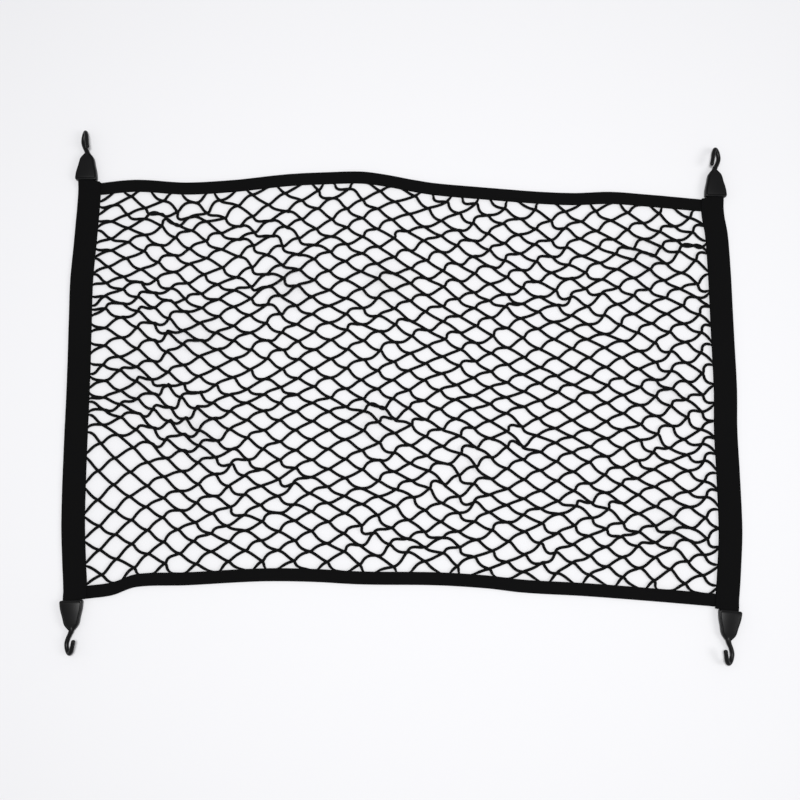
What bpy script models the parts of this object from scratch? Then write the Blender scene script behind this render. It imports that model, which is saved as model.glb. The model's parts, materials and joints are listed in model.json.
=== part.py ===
"""Cargo net: an open net panel held in four folded bands, with a moulded hook clip at each corner.

The net lies flat on the surface z = 0, seen from above with its long side along X. The origin is
at the middle of the ground under it. Tables and sizes are in millimetres, and MM turns them into
metres where a mesh is made.
"""

import math
from collections import namedtuple

import bmesh
import bpy
from mathutils import Matrix, Vector

MM = 0.001
TOUCH_GAP = 0.3

# Folded bands: two layers of tape around a slot that holds the edge of the net.
SIDE_WIDTH = 27.5
HEM_WIDTH = 15.0
BAND_THICKNESS = 4.0
TAPE = 1.1
SLOT_DEPTH = 5.0
FOLD_ROUND = 1.2
SIDE_STATIONS = 22
HEM_STATIONS = 32

# Ends of the side bands, where they narrow and rise into the clips.
STRAP_WIDTH = 20.0
STRAP_RISE_LENGTH = 12.0
STRAP_TAPER_LENGTH = 7.0
STRAP_STRAIGHT = 2.5
STRAP_INSERT = 3.5

# Net panel.
NET_THICKNESS = 2.4
NET_EDGE_THICKNESS = 1.2
NET_COLUMNS = 11
NET_HALF_ROWS = 24
JOINT_SHARE = 0.17
JOINT_HEIGHT = 4.8
TIP_SETBACK = 1.7
PANEL_WIDTH = 745.0
PANEL_HEIGHT = 475.0
NET_IN_SLOT = 3.3
HOLE_IN_SLOT = 0.8
NET_REST_HEIGHT = 0.2

# Distances in from the bands: the net drops from its slot to the ground between the first two,
# and its puckers reach their full size at the last.
DROP_START = 2.0
DROP_END = 9.0
FREE_REACH = 60.0

# Hook clip: a moulded body with a pocket for the strap, and a round hook. The rod sinks from
# the neck's height to the shank's between two distances along the clip.
ROD_RADIUS = 2.6
ROD_TIP_SHARE = 0.72
CLIP_THICKNESS = 8.8
POCKET_DEPTH = 6.0
POCKET_OVERRUN = 2.0
CLIP_TOP_CHAMFER = 1.8
CLIP_BOTTOM_CHAMFER = 0.8
NECK_HEIGHT = 4.6
NECK_END = 34.0
SHANK_HEIGHT = 3.1
SHANK_START = 47.0
ARM_START_SPREAD = 6.0
SLOPE_STEP = 2.0

# Outer edges of the four bands as they lie.
HemPoint = namedtuple("HemPoint", "x y")
SidePoint = namedtuple("SidePoint", "y x")

TOP_EDGE = [
    HemPoint(-372, 255.5),
    HemPoint(-325, 260.0),
    HemPoint(-264, 256.5),
    HemPoint(-203, 260.0),
    HemPoint(-141, 267.0),
    HemPoint(-95, 269.5),
    HemPoint(-49, 270.5),
    HemPoint(-18, 266.5),
    HemPoint(12, 260.5),
    HemPoint(43, 255.5),
    HemPoint(104, 250.0),
    HemPoint(165, 245.0),
    HemPoint(211, 243.0),
    HemPoint(257, 244.5),
    HemPoint(303, 241.0),
    HemPoint(372, 234.5),
]
BOTTOM_EDGE = [
    HemPoint(-366, -247.0),
    HemPoint(-336, -243.0),
    HemPoint(-308, -233.5),
    HemPoint(-250, -231.5),
    HemPoint(-163, -227.0),
    HemPoint(-105, -227.5),
    HemPoint(-46, -230.5),
    HemPoint(41, -231.5),
    HemPoint(99, -235.0),
    HemPoint(143, -240.0),
    HemPoint(215, -244.0),
    HemPoint(301, -250.5),
    HemPoint(366, -256.0),
]
LEFT_EDGE = [
    SidePoint(-255, -391.5),
    SidePoint(-230, -393.0),
    SidePoint(-202, -395.5),
    SidePoint(-156, -398.5),
    SidePoint(-85, -399.5),
    SidePoint(10, -399.5),
    SidePoint(83, -400.5),
    SidePoint(133, -401.0),
    SidePoint(183, -398.5),
    SidePoint(234, -396.3),
    SidePoint(262, -396.0),
]
RIGHT_EDGE = [
    SidePoint(-266, 390.0),
    SidePoint(-240, 393.2),
    SidePoint(-214, 396.0),
    SidePoint(-167, 399.7),
    SidePoint(-97, 399.7),
    SidePoint(-50, 399.2),
    SidePoint(-2, 401.0),
    SidePoint(71, 400.5),
    SidePoint(145, 400.0),
    SidePoint(190, 398.5),
    SidePoint(215, 395.3),
    SidePoint(241, 394.8),
]

# Where the net is drawn together and stands up: pull is the share by which a place's
# surroundings move towards it, and lift is the height of the fold there.
Pucker = namedtuple("Pucker", "x y reach pull lift")
PUCKERS = [
    Pucker(-262, 240, 42, 0.16, 5.0),
    Pucker(-132, 128, 38, 0.20, 6.0),
    Pucker(-245, 62, 48, 0.14, 5.0),
    Pucker(-318, 8, 60, -0.20, 2.0),
    Pucker(-240, -52, 46, 0.16, 4.5),
    Pucker(-22, 130, 34, 0.12, 4.5),
    Pucker(-30, -40, 36, 0.12, 4.0),
    Pucker(88, -88, 34, 0.10, 3.0),
    Pucker(302, 168, 44, 0.14, 4.5),
    Pucker(322, -6, 40, 0.12, 3.5),
    Pucker(318, -158, 44, 0.12, 3.5),
]

# Clips: which end of which side band each one closes, how steeply its hook stands up in
# degrees, and how much further than in HOOK_LINE its arm returns.
Clip = namedtuple("Clip", "name side end mouth hook_tilt arm_extra")
CLIPS = [
    Clip("clip_top_left", -1, 1, 258.5, 62, 5.0),
    Clip("clip_top_right", 1, 1, 237.0, 43, 5.0),
    Clip("clip_bottom_left", -1, -1, -248.5, 43, 0.0),
    Clip("clip_bottom_right", 1, -1, -260.0, 43, 0.0),
]

# Clip body, from the pocket's mouth to the neck.
BodyRing = namedtuple("BodyRing", "along half_width bottom top")
BODY_RINGS = [
    BodyRing(0.0, 12.5, 0.4, CLIP_THICKNESS - 0.4),
    BodyRing(1.6, 13.2, 0.0, CLIP_THICKNESS),
    BodyRing(10.0, 12.3, 0.0, CLIP_THICKNESS),
    BodyRing(19.0, 10.2, 0.2, CLIP_THICKNESS - 0.2),
    BodyRing(28.0, 8.0, 0.9, CLIP_THICKNESS - 0.7),
    BodyRing(34.0, 3.4, 1.7, CLIP_THICKNESS - 1.3),
]

# Hook centre line: out is its shift to the clip's outer side, and spread is the distance
# of the returning arm from the shank, in the hook's own tilted plane.
HookPoint = namedtuple("HookPoint", "along out spread")
HOOK_LINE = [
    HookPoint(29.0, 0.0, 0.0),
    HookPoint(34.0, 0.2, 0.0),
    HookPoint(38.0, 1.8, 0.0),
    HookPoint(43.0, 4.5, 0.0),
    HookPoint(48.5, 6.3, 0.0),
    HookPoint(53.5, 6.5, 0.6),
    HookPoint(57.8, 6.4, 2.4),
    HookPoint(60.0, 6.4, 5.9),
    HookPoint(58.2, 6.4, 9.4),
    HookPoint(53.8, 6.4, 11.8),
    HookPoint(47.3, 6.2, 14.2),
]
HOOK_STEPS = 3

WEBBING = ("black_webbing", (0.012, 0.012, 0.013), 0.85)
CORD = ("black_cord", (0.010, 0.010, 0.011), 0.75)
PLASTIC = ("black_plastic", (0.030, 0.030, 0.032), 0.45)


def clear_scene():
    for thing in list(bpy.data.objects):
        bpy.data.objects.remove(thing, do_unlink=True)


def new_collection(name):
    collection = bpy.data.collections.new(name)
    bpy.context.scene.collection.children.link(collection)
    return collection


def new_material(name, colour, roughness):
    material = bpy.data.materials.new(name)
    material.use_nodes = True
    shader = material.node_tree.nodes["Principled BSDF"]
    shader.inputs["Base Color"].default_value = (*colour, 1.0)
    shader.inputs["Roughness"].default_value = roughness
    shader.inputs["Metallic"].default_value = 0.0
    return material


def smooth_line(rows):
    """Return a function that reads a smooth curve through the rows of a two-column table."""
    slopes = []
    last = len(rows) - 1
    for i in range(len(rows)):
        before = rows[max(i - 1, 0)]
        after = rows[min(i + 1, last)]
        slopes.append((after[1] - before[1]) / (after[0] - before[0]))

    def read(place):
        i = 0
        while i < last - 1 and place > rows[i + 1][0]:
            i += 1
        start, end = rows[i], rows[i + 1]
        span = end[0] - start[0]
        t = (place - start[0]) / span
        if t < 0.0:
            return start[1] + slopes[i] * (place - start[0])
        if t > 1.0:
            return end[1] + slopes[i + 1] * (place - end[0])
        rise = start[1] * (2 * t**3 - 3 * t**2 + 1) + end[1] * (3 * t**2 - 2 * t**3)
        lean = slopes[i] * (t**3 - 2 * t**2 + t) + slopes[i + 1] * (t**3 - t**2)
        return rise + span * lean

    return read


def smooth_step(value, start, end):
    t = min(max((value - start) / (end - start), 0.0), 1.0)
    return t * t * (3.0 - 2.0 * t)


def blend(start, end, share):
    return start + (end - start) * share


top_edge = smooth_line(TOP_EDGE)
bottom_edge = smooth_line(BOTTOM_EDGE)
side_edges = {-1: smooth_line(LEFT_EDGE), 1: smooth_line(RIGHT_EDGE)}
mouths = {(clip.side, clip.end): clip.mouth for clip in CLIPS}


def near_clip(side, y, reach):
    """0 along the side band, rising over the reach to 1 just before the clip that closes it."""
    to_top = mouths[side, 1] - y
    to_bottom = y - mouths[side, -1]
    return 1.0 - smooth_step(min(to_top, to_bottom), STRAP_STRAIGHT, reach)


def side_width(side, y):
    return blend(SIDE_WIDTH, STRAP_WIDTH, near_clip(side, y, STRAP_TAPER_LENGTH))


def side_inner(side, y):
    return side_edges[side](y) - side * side_width(side, y)


def hem_inner(end, x):
    return top_edge(x) - HEM_WIDTH if end > 0 else bottom_edge(x) + HEM_WIDTH


def band_section(width):
    """Folded tape around its slot, as (distance in from the fold, height), once round."""
    upper = BAND_THICKNESS - TAPE
    return [
        (FOLD_ROUND, 0.0),
        (width, 0.0),
        (width, TAPE),
        (width - SLOT_DEPTH, TAPE),
        (width - SLOT_DEPTH, upper),
        (width, upper),
        (width, BAND_THICKNESS),
        (FOLD_ROUND, BAND_THICKNESS),
        (0.0, BAND_THICKNESS - FOLD_ROUND),
        (0.0, FOLD_ROUND),
    ]


def loft(rings):
    """Skin closed rings of equal length into one solid with flat ends."""
    mesh = bmesh.new()
    loops = [[mesh.verts.new(Vector(point) * MM) for point in ring] for ring in rings]
    for lower, upper in zip(loops, loops[1:]):
        for i in range(len(lower)):
            j = (i + 1) % len(lower)
            mesh.faces.new((lower[i], lower[j], upper[j], upper[i]))
    mesh.faces.new(loops[0])
    mesh.faces.new(loops[-1])
    bmesh.ops.recalc_face_normals(mesh, faces=mesh.faces)
    return mesh


def add_object(name, mesh, material, collection):
    data = bpy.data.meshes.new(name)
    mesh.to_mesh(data)
    mesh.free()
    if material:
        data.materials.append(material)
    thing = bpy.data.objects.new(name, data)
    collection.objects.link(thing)
    return thing


def spaced(start, end, count, extra=()):
    even = [blend(start, end, i / count) for i in range(count + 1)]
    return sorted(set(even) | set(extra))


def make_side_band(name, side, material, collection):
    low = mouths[side, -1]
    high = mouths[side, 1]
    lift = (CLIP_THICKNESS - BAND_THICKNESS) / 2
    ends = [low - STRAP_INSERT, high + STRAP_INSERT]
    near_ends = [mouth - sign * step for mouth, sign in ((low, -1), (high, 1))
                 for step in (STRAP_STRAIGHT, STRAP_TAPER_LENGTH / 2, STRAP_TAPER_LENGTH,
                              STRAP_RISE_LENGTH)]
    rings = []
    for y in spaced(low, high, SIDE_STATIONS, ends + near_ends):
        rise = lift * near_clip(side, y, STRAP_RISE_LENGTH)
        edge = side_edges[side](y)
        rings.append([(edge - side * inward, y, height + rise)
                      for inward, height in band_section(side_width(side, y))])
    return add_object(name, loft(rings), material, collection)


def make_hem_band(name, end, material, collection):
    edge = top_edge if end > 0 else bottom_edge
    rings = []
    for share in spaced(0.0, 1.0, HEM_STATIONS):
        ring = []
        for inward, height in band_section(HEM_WIDTH):
            x = blend(-PANEL_WIDTH / 2, PANEL_WIDTH / 2, share)
            for _ in range(3):
                y = edge(x) - end * inward
                left = side_edges[-1](y) + SIDE_WIDTH + TOUCH_GAP
                right = side_edges[1](y) - SIDE_WIDTH - TOUCH_GAP
                x = blend(left, right, share)
            ring.append((x, edge(x) - end * inward, height))
        rings.append(ring)
    return add_object(name, loft(rings), material, collection)


def pucker_weight(pucker, x, y):
    away = math.hypot(x - pucker.x, y - pucker.y) / pucker.reach
    return math.exp(-away * away)


def edge_distance(x, y):
    return min(x - side_inner(-1, y), side_inner(1, y) - x,
               y - hem_inner(-1, x), hem_inner(1, x) - y)


def net_place(across, up):
    """Where a point of the even net lies, by its shares of the way across and up the panel."""
    y = blend(-PANEL_HEIGHT / 2, PANEL_HEIGHT / 2, up)
    for _ in range(3):
        x = blend(side_inner(-1, y), side_inner(1, y), across)
        y = blend(hem_inner(-1, x), hem_inner(1, x), up)
    free = smooth_step(edge_distance(x, y), 0.0, FREE_REACH)
    move_x = sum(p.pull * (p.x - x) * pucker_weight(p, x, y) for p in PUCKERS)
    move_y = sum(p.pull * (p.y - y) * pucker_weight(p, x, y) for p in PUCKERS)
    return x + move_x * free, y + move_y * free


def on_edge(share):
    """-1 or 1 on the panel's edges and 0 inside it."""
    return -1 if share < 1e-6 else 1 if share > 1 - 1e-6 else 0


def net_outline_point(across, up, outward):
    x, y = net_place(across, up)
    return x + on_edge(across) * outward, y + on_edge(up) * outward


def net_cell(across, up):
    """Six corners of one opening around its centre, cut off where it meets a band."""
    pitch = 1.0 / NET_COLUMNS
    rise = 1.0 / NET_HALF_ROWS
    tip = pitch * (1.0 - JOINT_SHARE) / 2 - TIP_SETBACK / PANEL_WIDTH
    shoulder = pitch * JOINT_SHARE / 2
    reach = rise - JOINT_HEIGHT / 2 / PANEL_HEIGHT
    corners = [(-tip, 0), (-shoulder, reach), (shoulder, reach),
               (tip, 0), (shoulder, -reach), (-shoulder, -reach)]
    cell = []
    for step_across, step_up in corners:
        place = (min(max(across + step_across, 0.0), 1.0), min(max(up + step_up, 0.0), 1.0))
        cell.append(net_outline_point(*place, HOLE_IN_SLOT))
    return cell


def net_cells():
    cells = []
    for row in range(NET_HALF_ROWS + 1):
        shift = 0.5 if row % 2 == 0 else 0.0
        count = NET_COLUMNS if shift else NET_COLUMNS + 1
        for column in range(count):
            cells.append(net_cell((column + shift) / NET_COLUMNS, row / NET_HALF_ROWS))
    return cells


def net_border():
    across = [i / (2 * NET_COLUMNS) for i in range(2 * NET_COLUMNS + 1)]
    up = [i / NET_HALF_ROWS for i in range(1, NET_HALF_ROWS)]
    walk = [(share, 0.0) for share in across] + [(1.0, share) for share in up]
    walk += [(share, 1.0) for share in reversed(across)] + [(0.0, share) for share in reversed(up)]
    return [net_outline_point(*place, NET_IN_SLOT) for place in walk]


def net_layer(x, y):
    """Middle height and half thickness of the net at a place."""
    inside = smooth_step(edge_distance(x, y), DROP_START, DROP_END)
    free = smooth_step(edge_distance(x, y), DROP_START, FREE_REACH)
    half = blend(NET_EDGE_THICKNESS, NET_THICKNESS, inside) / 2
    middle = blend(BAND_THICKNESS / 2, NET_REST_HEIGHT + NET_THICKNESS / 2, inside)
    lift = sum(p.lift * pucker_weight(p, x, y) for p in PUCKERS)
    return middle + lift * free, half


def mesh_from_curve(curve_object):
    """The curve's evaluated surface as a welded bmesh, in world space."""
    graph = bpy.context.evaluated_depsgraph_get()
    data = bpy.data.meshes.new_from_object(curve_object.evaluated_get(graph))
    mesh = bmesh.new()
    mesh.from_mesh(data)
    mesh.transform(curve_object.matrix_world)
    bmesh.ops.remove_doubles(mesh, verts=mesh.verts, dist=1e-6)
    bpy.data.meshes.remove(data)
    bpy.data.objects.remove(curve_object, do_unlink=True)
    return mesh


def make_net(material, collection):
    curve = bpy.data.curves.new("net_outline", "CURVE")
    curve.dimensions = "2D"
    curve.fill_mode = "BOTH"
    curve.extrude = NET_THICKNESS / 2 * MM
    for outline in [net_border()] + net_cells():
        spline = curve.splines.new("POLY")
        spline.points.add(len(outline) - 1)
        spline.use_cyclic_u = True
        for point, (x, y) in zip(spline.points, outline):
            point.co = (x * MM, y * MM, 0.0, 1.0)
    flat = bpy.data.objects.new("net_outline", curve)
    collection.objects.link(flat)
    mesh = mesh_from_curve(flat)
    bmesh.ops.triangulate(mesh, faces=mesh.faces)
    for vert in mesh.verts:
        middle, half = net_layer(vert.co.x / MM, vert.co.y / MM)
        vert.co.z = (middle + math.copysign(half, vert.co.z)) * MM
    bmesh.ops.recalc_face_normals(mesh, faces=mesh.faces)
    return add_object("net_panel", mesh, material, collection)


def body_section(ring):
    """Eight-sided section of a clip's body, as (sideways, height)."""
    low, high = CLIP_BOTTOM_CHAMFER, CLIP_TOP_CHAMFER
    wide = ring.half_width
    return [
        (-wide, ring.bottom + low),
        (-wide + low, ring.bottom),
        (wide - low, ring.bottom),
        (wide, ring.bottom + low),
        (wide, ring.top - high),
        (wide - high, ring.top),
        (-wide + high, ring.top),
        (-wide, ring.top - high),
    ]


def hook_points(clip):
    """Centre line of the hook, smooth through HOOK_LINE. The arm returns on the net's inner side."""
    inward = -clip.side
    tilt = math.radians(clip.hook_tilt)
    rows = []
    for point in HOOK_LINE:
        height = blend(NECK_HEIGHT, SHANK_HEIGHT, smooth_step(point.along, NECK_END, SHANK_START))
        sideways = point.spread * math.cos(tilt) - point.out
        returned = smooth_step(point.spread, ARM_START_SPREAD, HOOK_LINE[-1].spread)
        along = point.along - clip.arm_extra * returned
        rows.append(Vector((inward * sideways, clip.end * along,
                            height + point.spread * math.sin(tilt))))
    path = []
    for i in range(len(rows) - 1):
        before, start = rows[max(i - 1, 0)], rows[i]
        end, after = rows[i + 1], rows[min(i + 2, len(rows) - 1)]
        for step in range(HOOK_STEPS):
            t = step / HOOK_STEPS
            path.append(0.5 * ((2 * start) + (end - before) * t
                               + (2 * before - 5 * start + 4 * end - after) * t**2
                               + (3 * start - before - 3 * end + after) * t**3))
    return path + [rows[-1]]


def place_on_band(thing, clip):
    """Stand a clip's piece on the end of its band, turned along the band's outer edge."""
    edge = side_edges[clip.side]
    rise = edge(clip.mouth + SLOPE_STEP) - edge(clip.mouth - SLOPE_STEP)
    slope = rise / (2 * SLOPE_STEP)
    middle = edge(clip.mouth) - clip.side * STRAP_WIDTH / 2
    thing.location = (middle * MM, clip.mouth * MM, 0.0)
    thing.rotation_euler = (0.0, 0.0, -math.atan(slope))


def make_hook(clip, cutters):
    curve = bpy.data.curves.new(clip.name + "_hook", "CURVE")
    curve.dimensions = "3D"
    curve.bevel_depth = ROD_RADIUS * MM
    curve.bevel_resolution = 2
    curve.use_fill_caps = True
    path = hook_points(clip)
    spline = curve.splines.new("POLY")
    spline.points.add(len(path) - 1)
    for point, place in zip(spline.points, path):
        point.co = (*(place * MM), 1.0)
    spline.points[-1].radius = ROD_TIP_SHARE
    tube = bpy.data.objects.new(clip.name + "_hook_line", curve)
    cutters.objects.link(tube)
    mesh = mesh_from_curve(tube)
    bmesh.ops.recalc_face_normals(mesh, faces=mesh.faces)
    hook = add_object(clip.name + "_hook", mesh, None, cutters)
    place_on_band(hook, clip)
    return hook


def make_pocket(clip, cutters):
    """Block that hollows the mouth of the clip, a touching gap larger than the strap all round."""
    width = STRAP_WIDTH + 2 * TOUCH_GAP
    height = BAND_THICKNESS + 2 * TOUCH_GAP
    size = Vector((width, POCKET_DEPTH + POCKET_OVERRUN, height)) * MM
    along = clip.end * (POCKET_DEPTH - POCKET_OVERRUN) / 2
    middle = Vector((0.0, along, CLIP_THICKNESS / 2)) * MM
    mesh = bmesh.new()
    placed = Matrix.Translation(middle) @ Matrix.Diagonal((*size, 1.0))
    bmesh.ops.create_cube(mesh, size=1.0, matrix=placed)
    block = add_object(clip.name + "_pocket", mesh, None, cutters)
    place_on_band(block, clip)
    return block


def add_boolean(thing, tool, operation):
    tool.hide_render = True
    tool.display_type = "WIRE"
    modifier = thing.modifiers.new(tool.name, "BOOLEAN")
    modifier.object = tool
    modifier.operation = operation
    modifier.solver = "EXACT"


def make_clip(clip, material, collection, cutters):
    rings = [[(sideways, clip.end * ring.along, height) for sideways, height in body_section(ring)]
             for ring in BODY_RINGS]
    body = add_object(clip.name, loft(rings), material, collection)
    place_on_band(body, clip)
    bpy.context.view_layer.update()
    add_boolean(body, make_pocket(clip, cutters), "DIFFERENCE")
    add_boolean(body, make_hook(clip, cutters), "UNION")
    return body


def main():
    clear_scene()
    parts = new_collection("cargo_net")
    cutters = new_collection("cutters")
    webbing = new_material(*WEBBING)
    cord = new_material(*CORD)
    plastic = new_material(*PLASTIC)
    make_net(cord, parts)
    make_hem_band("band_top", 1, webbing, parts)
    make_hem_band("band_bottom", -1, webbing, parts)
    make_side_band("band_left", -1, webbing, parts)
    make_side_band("band_right", 1, webbing, parts)
    for clip in CLIPS:
        make_clip(clip, plastic, parts, cutters)


main()
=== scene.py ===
# %% [markdown]
# # A cargo net, dressed for the camera
#
# The real object is an elastic net for a car boot: knitted black cord in a frame of folded webbing,
# with a moulded hook clip at each corner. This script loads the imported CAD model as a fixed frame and
# puts a finer piece in the place of each of its solids: the cords one by one, the webbing with its folds
# and stitches, and the clips with their mouldings. Sizes are in millimetres, and MM turns them into the
# metres that Blender uses.

# %% Load the frame
import json
import math
from collections import namedtuple

import bmesh
import bpy
import numpy as np
from mathutils import Matrix, Vector

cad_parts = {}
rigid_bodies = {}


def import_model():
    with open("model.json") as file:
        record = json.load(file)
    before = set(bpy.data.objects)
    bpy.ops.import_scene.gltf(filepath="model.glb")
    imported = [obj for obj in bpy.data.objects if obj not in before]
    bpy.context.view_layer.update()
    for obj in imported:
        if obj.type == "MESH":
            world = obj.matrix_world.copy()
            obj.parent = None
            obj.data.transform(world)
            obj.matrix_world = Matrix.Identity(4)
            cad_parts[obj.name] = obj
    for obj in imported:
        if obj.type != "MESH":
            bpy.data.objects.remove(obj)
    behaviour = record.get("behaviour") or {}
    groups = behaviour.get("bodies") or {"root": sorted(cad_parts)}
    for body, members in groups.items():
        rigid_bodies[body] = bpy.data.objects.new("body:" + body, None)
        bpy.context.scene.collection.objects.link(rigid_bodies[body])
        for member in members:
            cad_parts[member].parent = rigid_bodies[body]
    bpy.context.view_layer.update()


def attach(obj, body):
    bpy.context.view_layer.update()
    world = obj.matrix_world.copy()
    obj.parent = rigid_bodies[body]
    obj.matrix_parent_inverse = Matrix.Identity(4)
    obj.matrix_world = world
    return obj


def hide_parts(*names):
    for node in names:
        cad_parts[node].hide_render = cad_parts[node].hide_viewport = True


MM = 0.001
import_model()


# %% [markdown]
# ## Camera, ground and light
#
# The photo looks down on the net from nearly straight above, leaning back a little, so the near hem is
# a touch larger than the far one. The camera looks at one point on the ground from a known distance, and
# the width of ground that fills the picture gives the lens. Near black cord on a near white ground is all
# contrast, so the plain Standard view keeps both ends of it.

# %% Camera
LOOKED_AT = Vector((-1.3, -13.4, 0.0))
CAMERA_DISTANCE = 1300.0
CAMERA_LEAN = math.radians(8.5)
GROUND_IN_VIEW = 955.0
SENSOR_WIDTH = 36.0


def new_object(name, data):
    """Put a camera, a light or a mesh in the scene, at the origin."""
    made = bpy.data.objects.new(name, data)
    bpy.context.scene.collection.objects.link(made)
    return made


camera_data = bpy.data.cameras.new("camera")
camera_data.sensor_width = SENSOR_WIDTH
camera_data.lens = SENSOR_WIDTH * CAMERA_DISTANCE / GROUND_IN_VIEW
camera = new_object("camera", camera_data)
away = Vector((0.0, -math.sin(CAMERA_LEAN), math.cos(CAMERA_LEAN)))
camera.location = (LOOKED_AT + away * CAMERA_DISTANCE) * MM
camera.rotation_euler = (CAMERA_LEAN, 0.0, 0.0)
bpy.context.scene.camera = camera
bpy.context.scene.view_settings.view_transform = "Standard"
print("lens:", round(camera_data.lens, 1), "mm")

# %% [markdown]
# The ground is a plain, very pale sheet. A broad light close to the camera's own line hides the cords'
# shadows under the cords, and a second one on the right with a pale world softens what is left.

# %% Ground
GROUND_SIZE = 6000.0
GROUND_COLOUR = (0.865, 0.865, 0.88, 1.0)
GROUND_ROUGHNESS = 0.9

ground_mesh = bpy.data.meshes.new("ground")
half_ground = GROUND_SIZE / 2 * MM
ground_mesh.from_pydata(
    [(-half_ground, -half_ground, 0), (half_ground, -half_ground, 0),
     (half_ground, half_ground, 0), (-half_ground, half_ground, 0)], [], [(0, 1, 2, 3)])
ground = new_object("ground", ground_mesh)

ground_material = bpy.data.materials.new("pale_ground")
ground_material.use_nodes = True
ground_shader = ground_material.node_tree.nodes["Principled BSDF"]
ground_shader.inputs["Base Color"].default_value = GROUND_COLOUR
ground_shader.inputs["Roughness"].default_value = GROUND_ROUGHNESS
ground_mesh.materials.append(ground_material)
print("ground:", round(GROUND_SIZE * MM, 1), "m square")

# %% Light
Light = namedtuple("Light", "name place size watts")
LIGHTS = [
    Light("overhead", (-60, -60, 2200), 600, 32.5),
    Light("right_side", (2400, -500, 2000), 1200, 16),
]
WORLD_COLOUR = (0.98, 0.98, 1.0, 1.0)
WORLD_STRENGTH = 0.38

for row in LIGHTS:
    light_data = bpy.data.lights.new(row.name, "AREA")
    light_data.size = row.size * MM
    light_data.energy = row.watts
    light = new_object(row.name, light_data)
    light.location = Vector(row.place) * MM
    light.rotation_euler = light.location.to_track_quat("Z", "Y").to_euler()

world = bpy.data.worlds.new("studio")
world.use_nodes = True
world.node_tree.nodes["Background"].inputs["Color"].default_value = WORLD_COLOUR
world.node_tree.nodes["Background"].inputs["Strength"].default_value = WORLD_STRENGTH
bpy.context.scene.world = world
print("lights:", len(LIGHTS))


# %% [markdown]
# ## Finishes
#
# Everything on the net is black, so what tells cord, webbing and plastic apart is how each catches the
# light. Three small node groups carry the effects: a faded patchiness for all three finishes, a thread
# relief that crosses two rows of threads for both cloths, and a fine grain for the plastic. A group
# gives out only colours and heights, and the shader itself stays in each material.

# %% Helpers for node groups
def new_group(name, inputs, outputs):
    """A shader node group with float, colour and vector sockets, and its two end nodes."""
    group = bpy.data.node_groups.new(name, "ShaderNodeTree")
    for direction, sockets in (("INPUT", inputs), ("OUTPUT", outputs)):
        for socket_name, kind, value in sockets:
            socket = group.interface.new_socket(socket_name, in_out=direction,
                                                socket_type="NodeSocket" + kind)
            if value is not None:
                socket.default_value = value
    start = group.nodes.new("NodeGroupInput")
    end = group.nodes.new("NodeGroupOutput")
    return group, start, end


def add_node(tree, kind, **settings):
    """A new node of a kind, with its settings."""
    node = tree.nodes.new(kind)
    for setting, value in settings.items():
        setattr(node, setting, value)
    return node


def link_all(tree, links):
    """Link many sockets, each given as (node, its output, next node, its input)."""
    for node, output, next_node, socket in links:
        tree.links.new(node.outputs[output], next_node.inputs[socket])


def feed(tree, socket, value):
    """Link a socket to another one, or set it to a plain number."""
    if isinstance(value, bpy.types.NodeSocket):
        tree.links.new(value, socket)
    elif value is not None:
        socket.default_value = value


def math_node(tree, operation, first, second=None, third=None):
    """A math node fed by sockets or by plain numbers; returns its output."""
    node = add_node(tree, "ShaderNodeMath", operation=operation)
    for socket, value in zip(node.inputs, (first, second, third)):
        feed(tree, socket, value)
    return node.outputs[0]


def noise_node(tree, vector, scale, detail):
    """A noise texture's value, from 0 to 1."""
    node = add_node(tree, "ShaderNodeTexNoise")
    for name, value in (("Vector", vector), ("Scale", scale), ("Detail", detail)):
        feed(tree, node.inputs[name], value)
    return node.outputs["Fac"]


# %% Patchy black, for all three finishes
PATCH_DETAIL = 3.0
SPECK_DETAIL = 1.0
SPECK_SHARE = 0.45

fade_group, fade_in, fade_out = new_group(
    "faded_black",
    [("Place", "Vector", None), ("Deep", "Color", (0.01, 0.01, 0.01, 1)),
     ("Faded", "Color", (0.03, 0.03, 0.03, 1)), ("Patches per metre", "Float", 20.0),
     ("Specks per metre", "Float", 900.0)],
    [("Colour", "Color", None)])
patches, specks = [noise_node(fade_group, fade_in.outputs["Place"], fade_in.outputs[name], detail)
                   for name, detail in (("Patches per metre", PATCH_DETAIL),
                                        ("Specks per metre", SPECK_DETAIL))]
fade_mask = math_node(fade_group, "MULTIPLY_ADD", specks, SPECK_SHARE,
                      math_node(fade_group, "MULTIPLY", patches, 1 - SPECK_SHARE))
fade_mix = add_node(fade_group, "ShaderNodeMix", data_type="RGBA")
feed(fade_group, fade_mix.inputs["Factor"], fade_mask)
link_all(fade_group, [(fade_in, "Deep", fade_mix, "A"), (fade_in, "Faded", fade_mix, "B"),
                      (fade_mix, "Result", fade_out, "Colour")])

# %% [markdown]
# Both cloths are made of threads that run two ways: the cord's braid climbs round it both to the left and
# to the right, and the webbing's threads lie along and across it. The relief group takes two numbers that
# count threads, and gives the height of the thread that lies on top.

# %% Thread relief, for cord and webbing
thread_group, thread_in, thread_out = new_group(
    "thread_relief",
    [("First threads", "Float", 0.0), ("Second threads", "Float", 0.0), ("Second share", "Float", 1.0)],
    [("Height", "Float", None)])
thread_heights = []
for counted in ("First threads", "Second threads"):
    turn = math_node(thread_group, "MULTIPLY", thread_in.outputs[counted], math.pi)
    thread_heights.append(math_node(thread_group, "ABSOLUTE",
                                    math_node(thread_group, "SINE", turn)))
second_height = math_node(thread_group, "MULTIPLY", thread_heights[1], thread_in.outputs["Second share"])
feed(thread_group, thread_out.inputs["Height"],
     math_node(thread_group, "MAXIMUM", thread_heights[0], second_height))

# %% Moulded grain, for the clips
GRAIN_DETAIL = 2.0
SWELLS_PER_METRE = 60.0
SWELL_DETAIL = 1.0
SWELL_SHARE = 0.5

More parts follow.
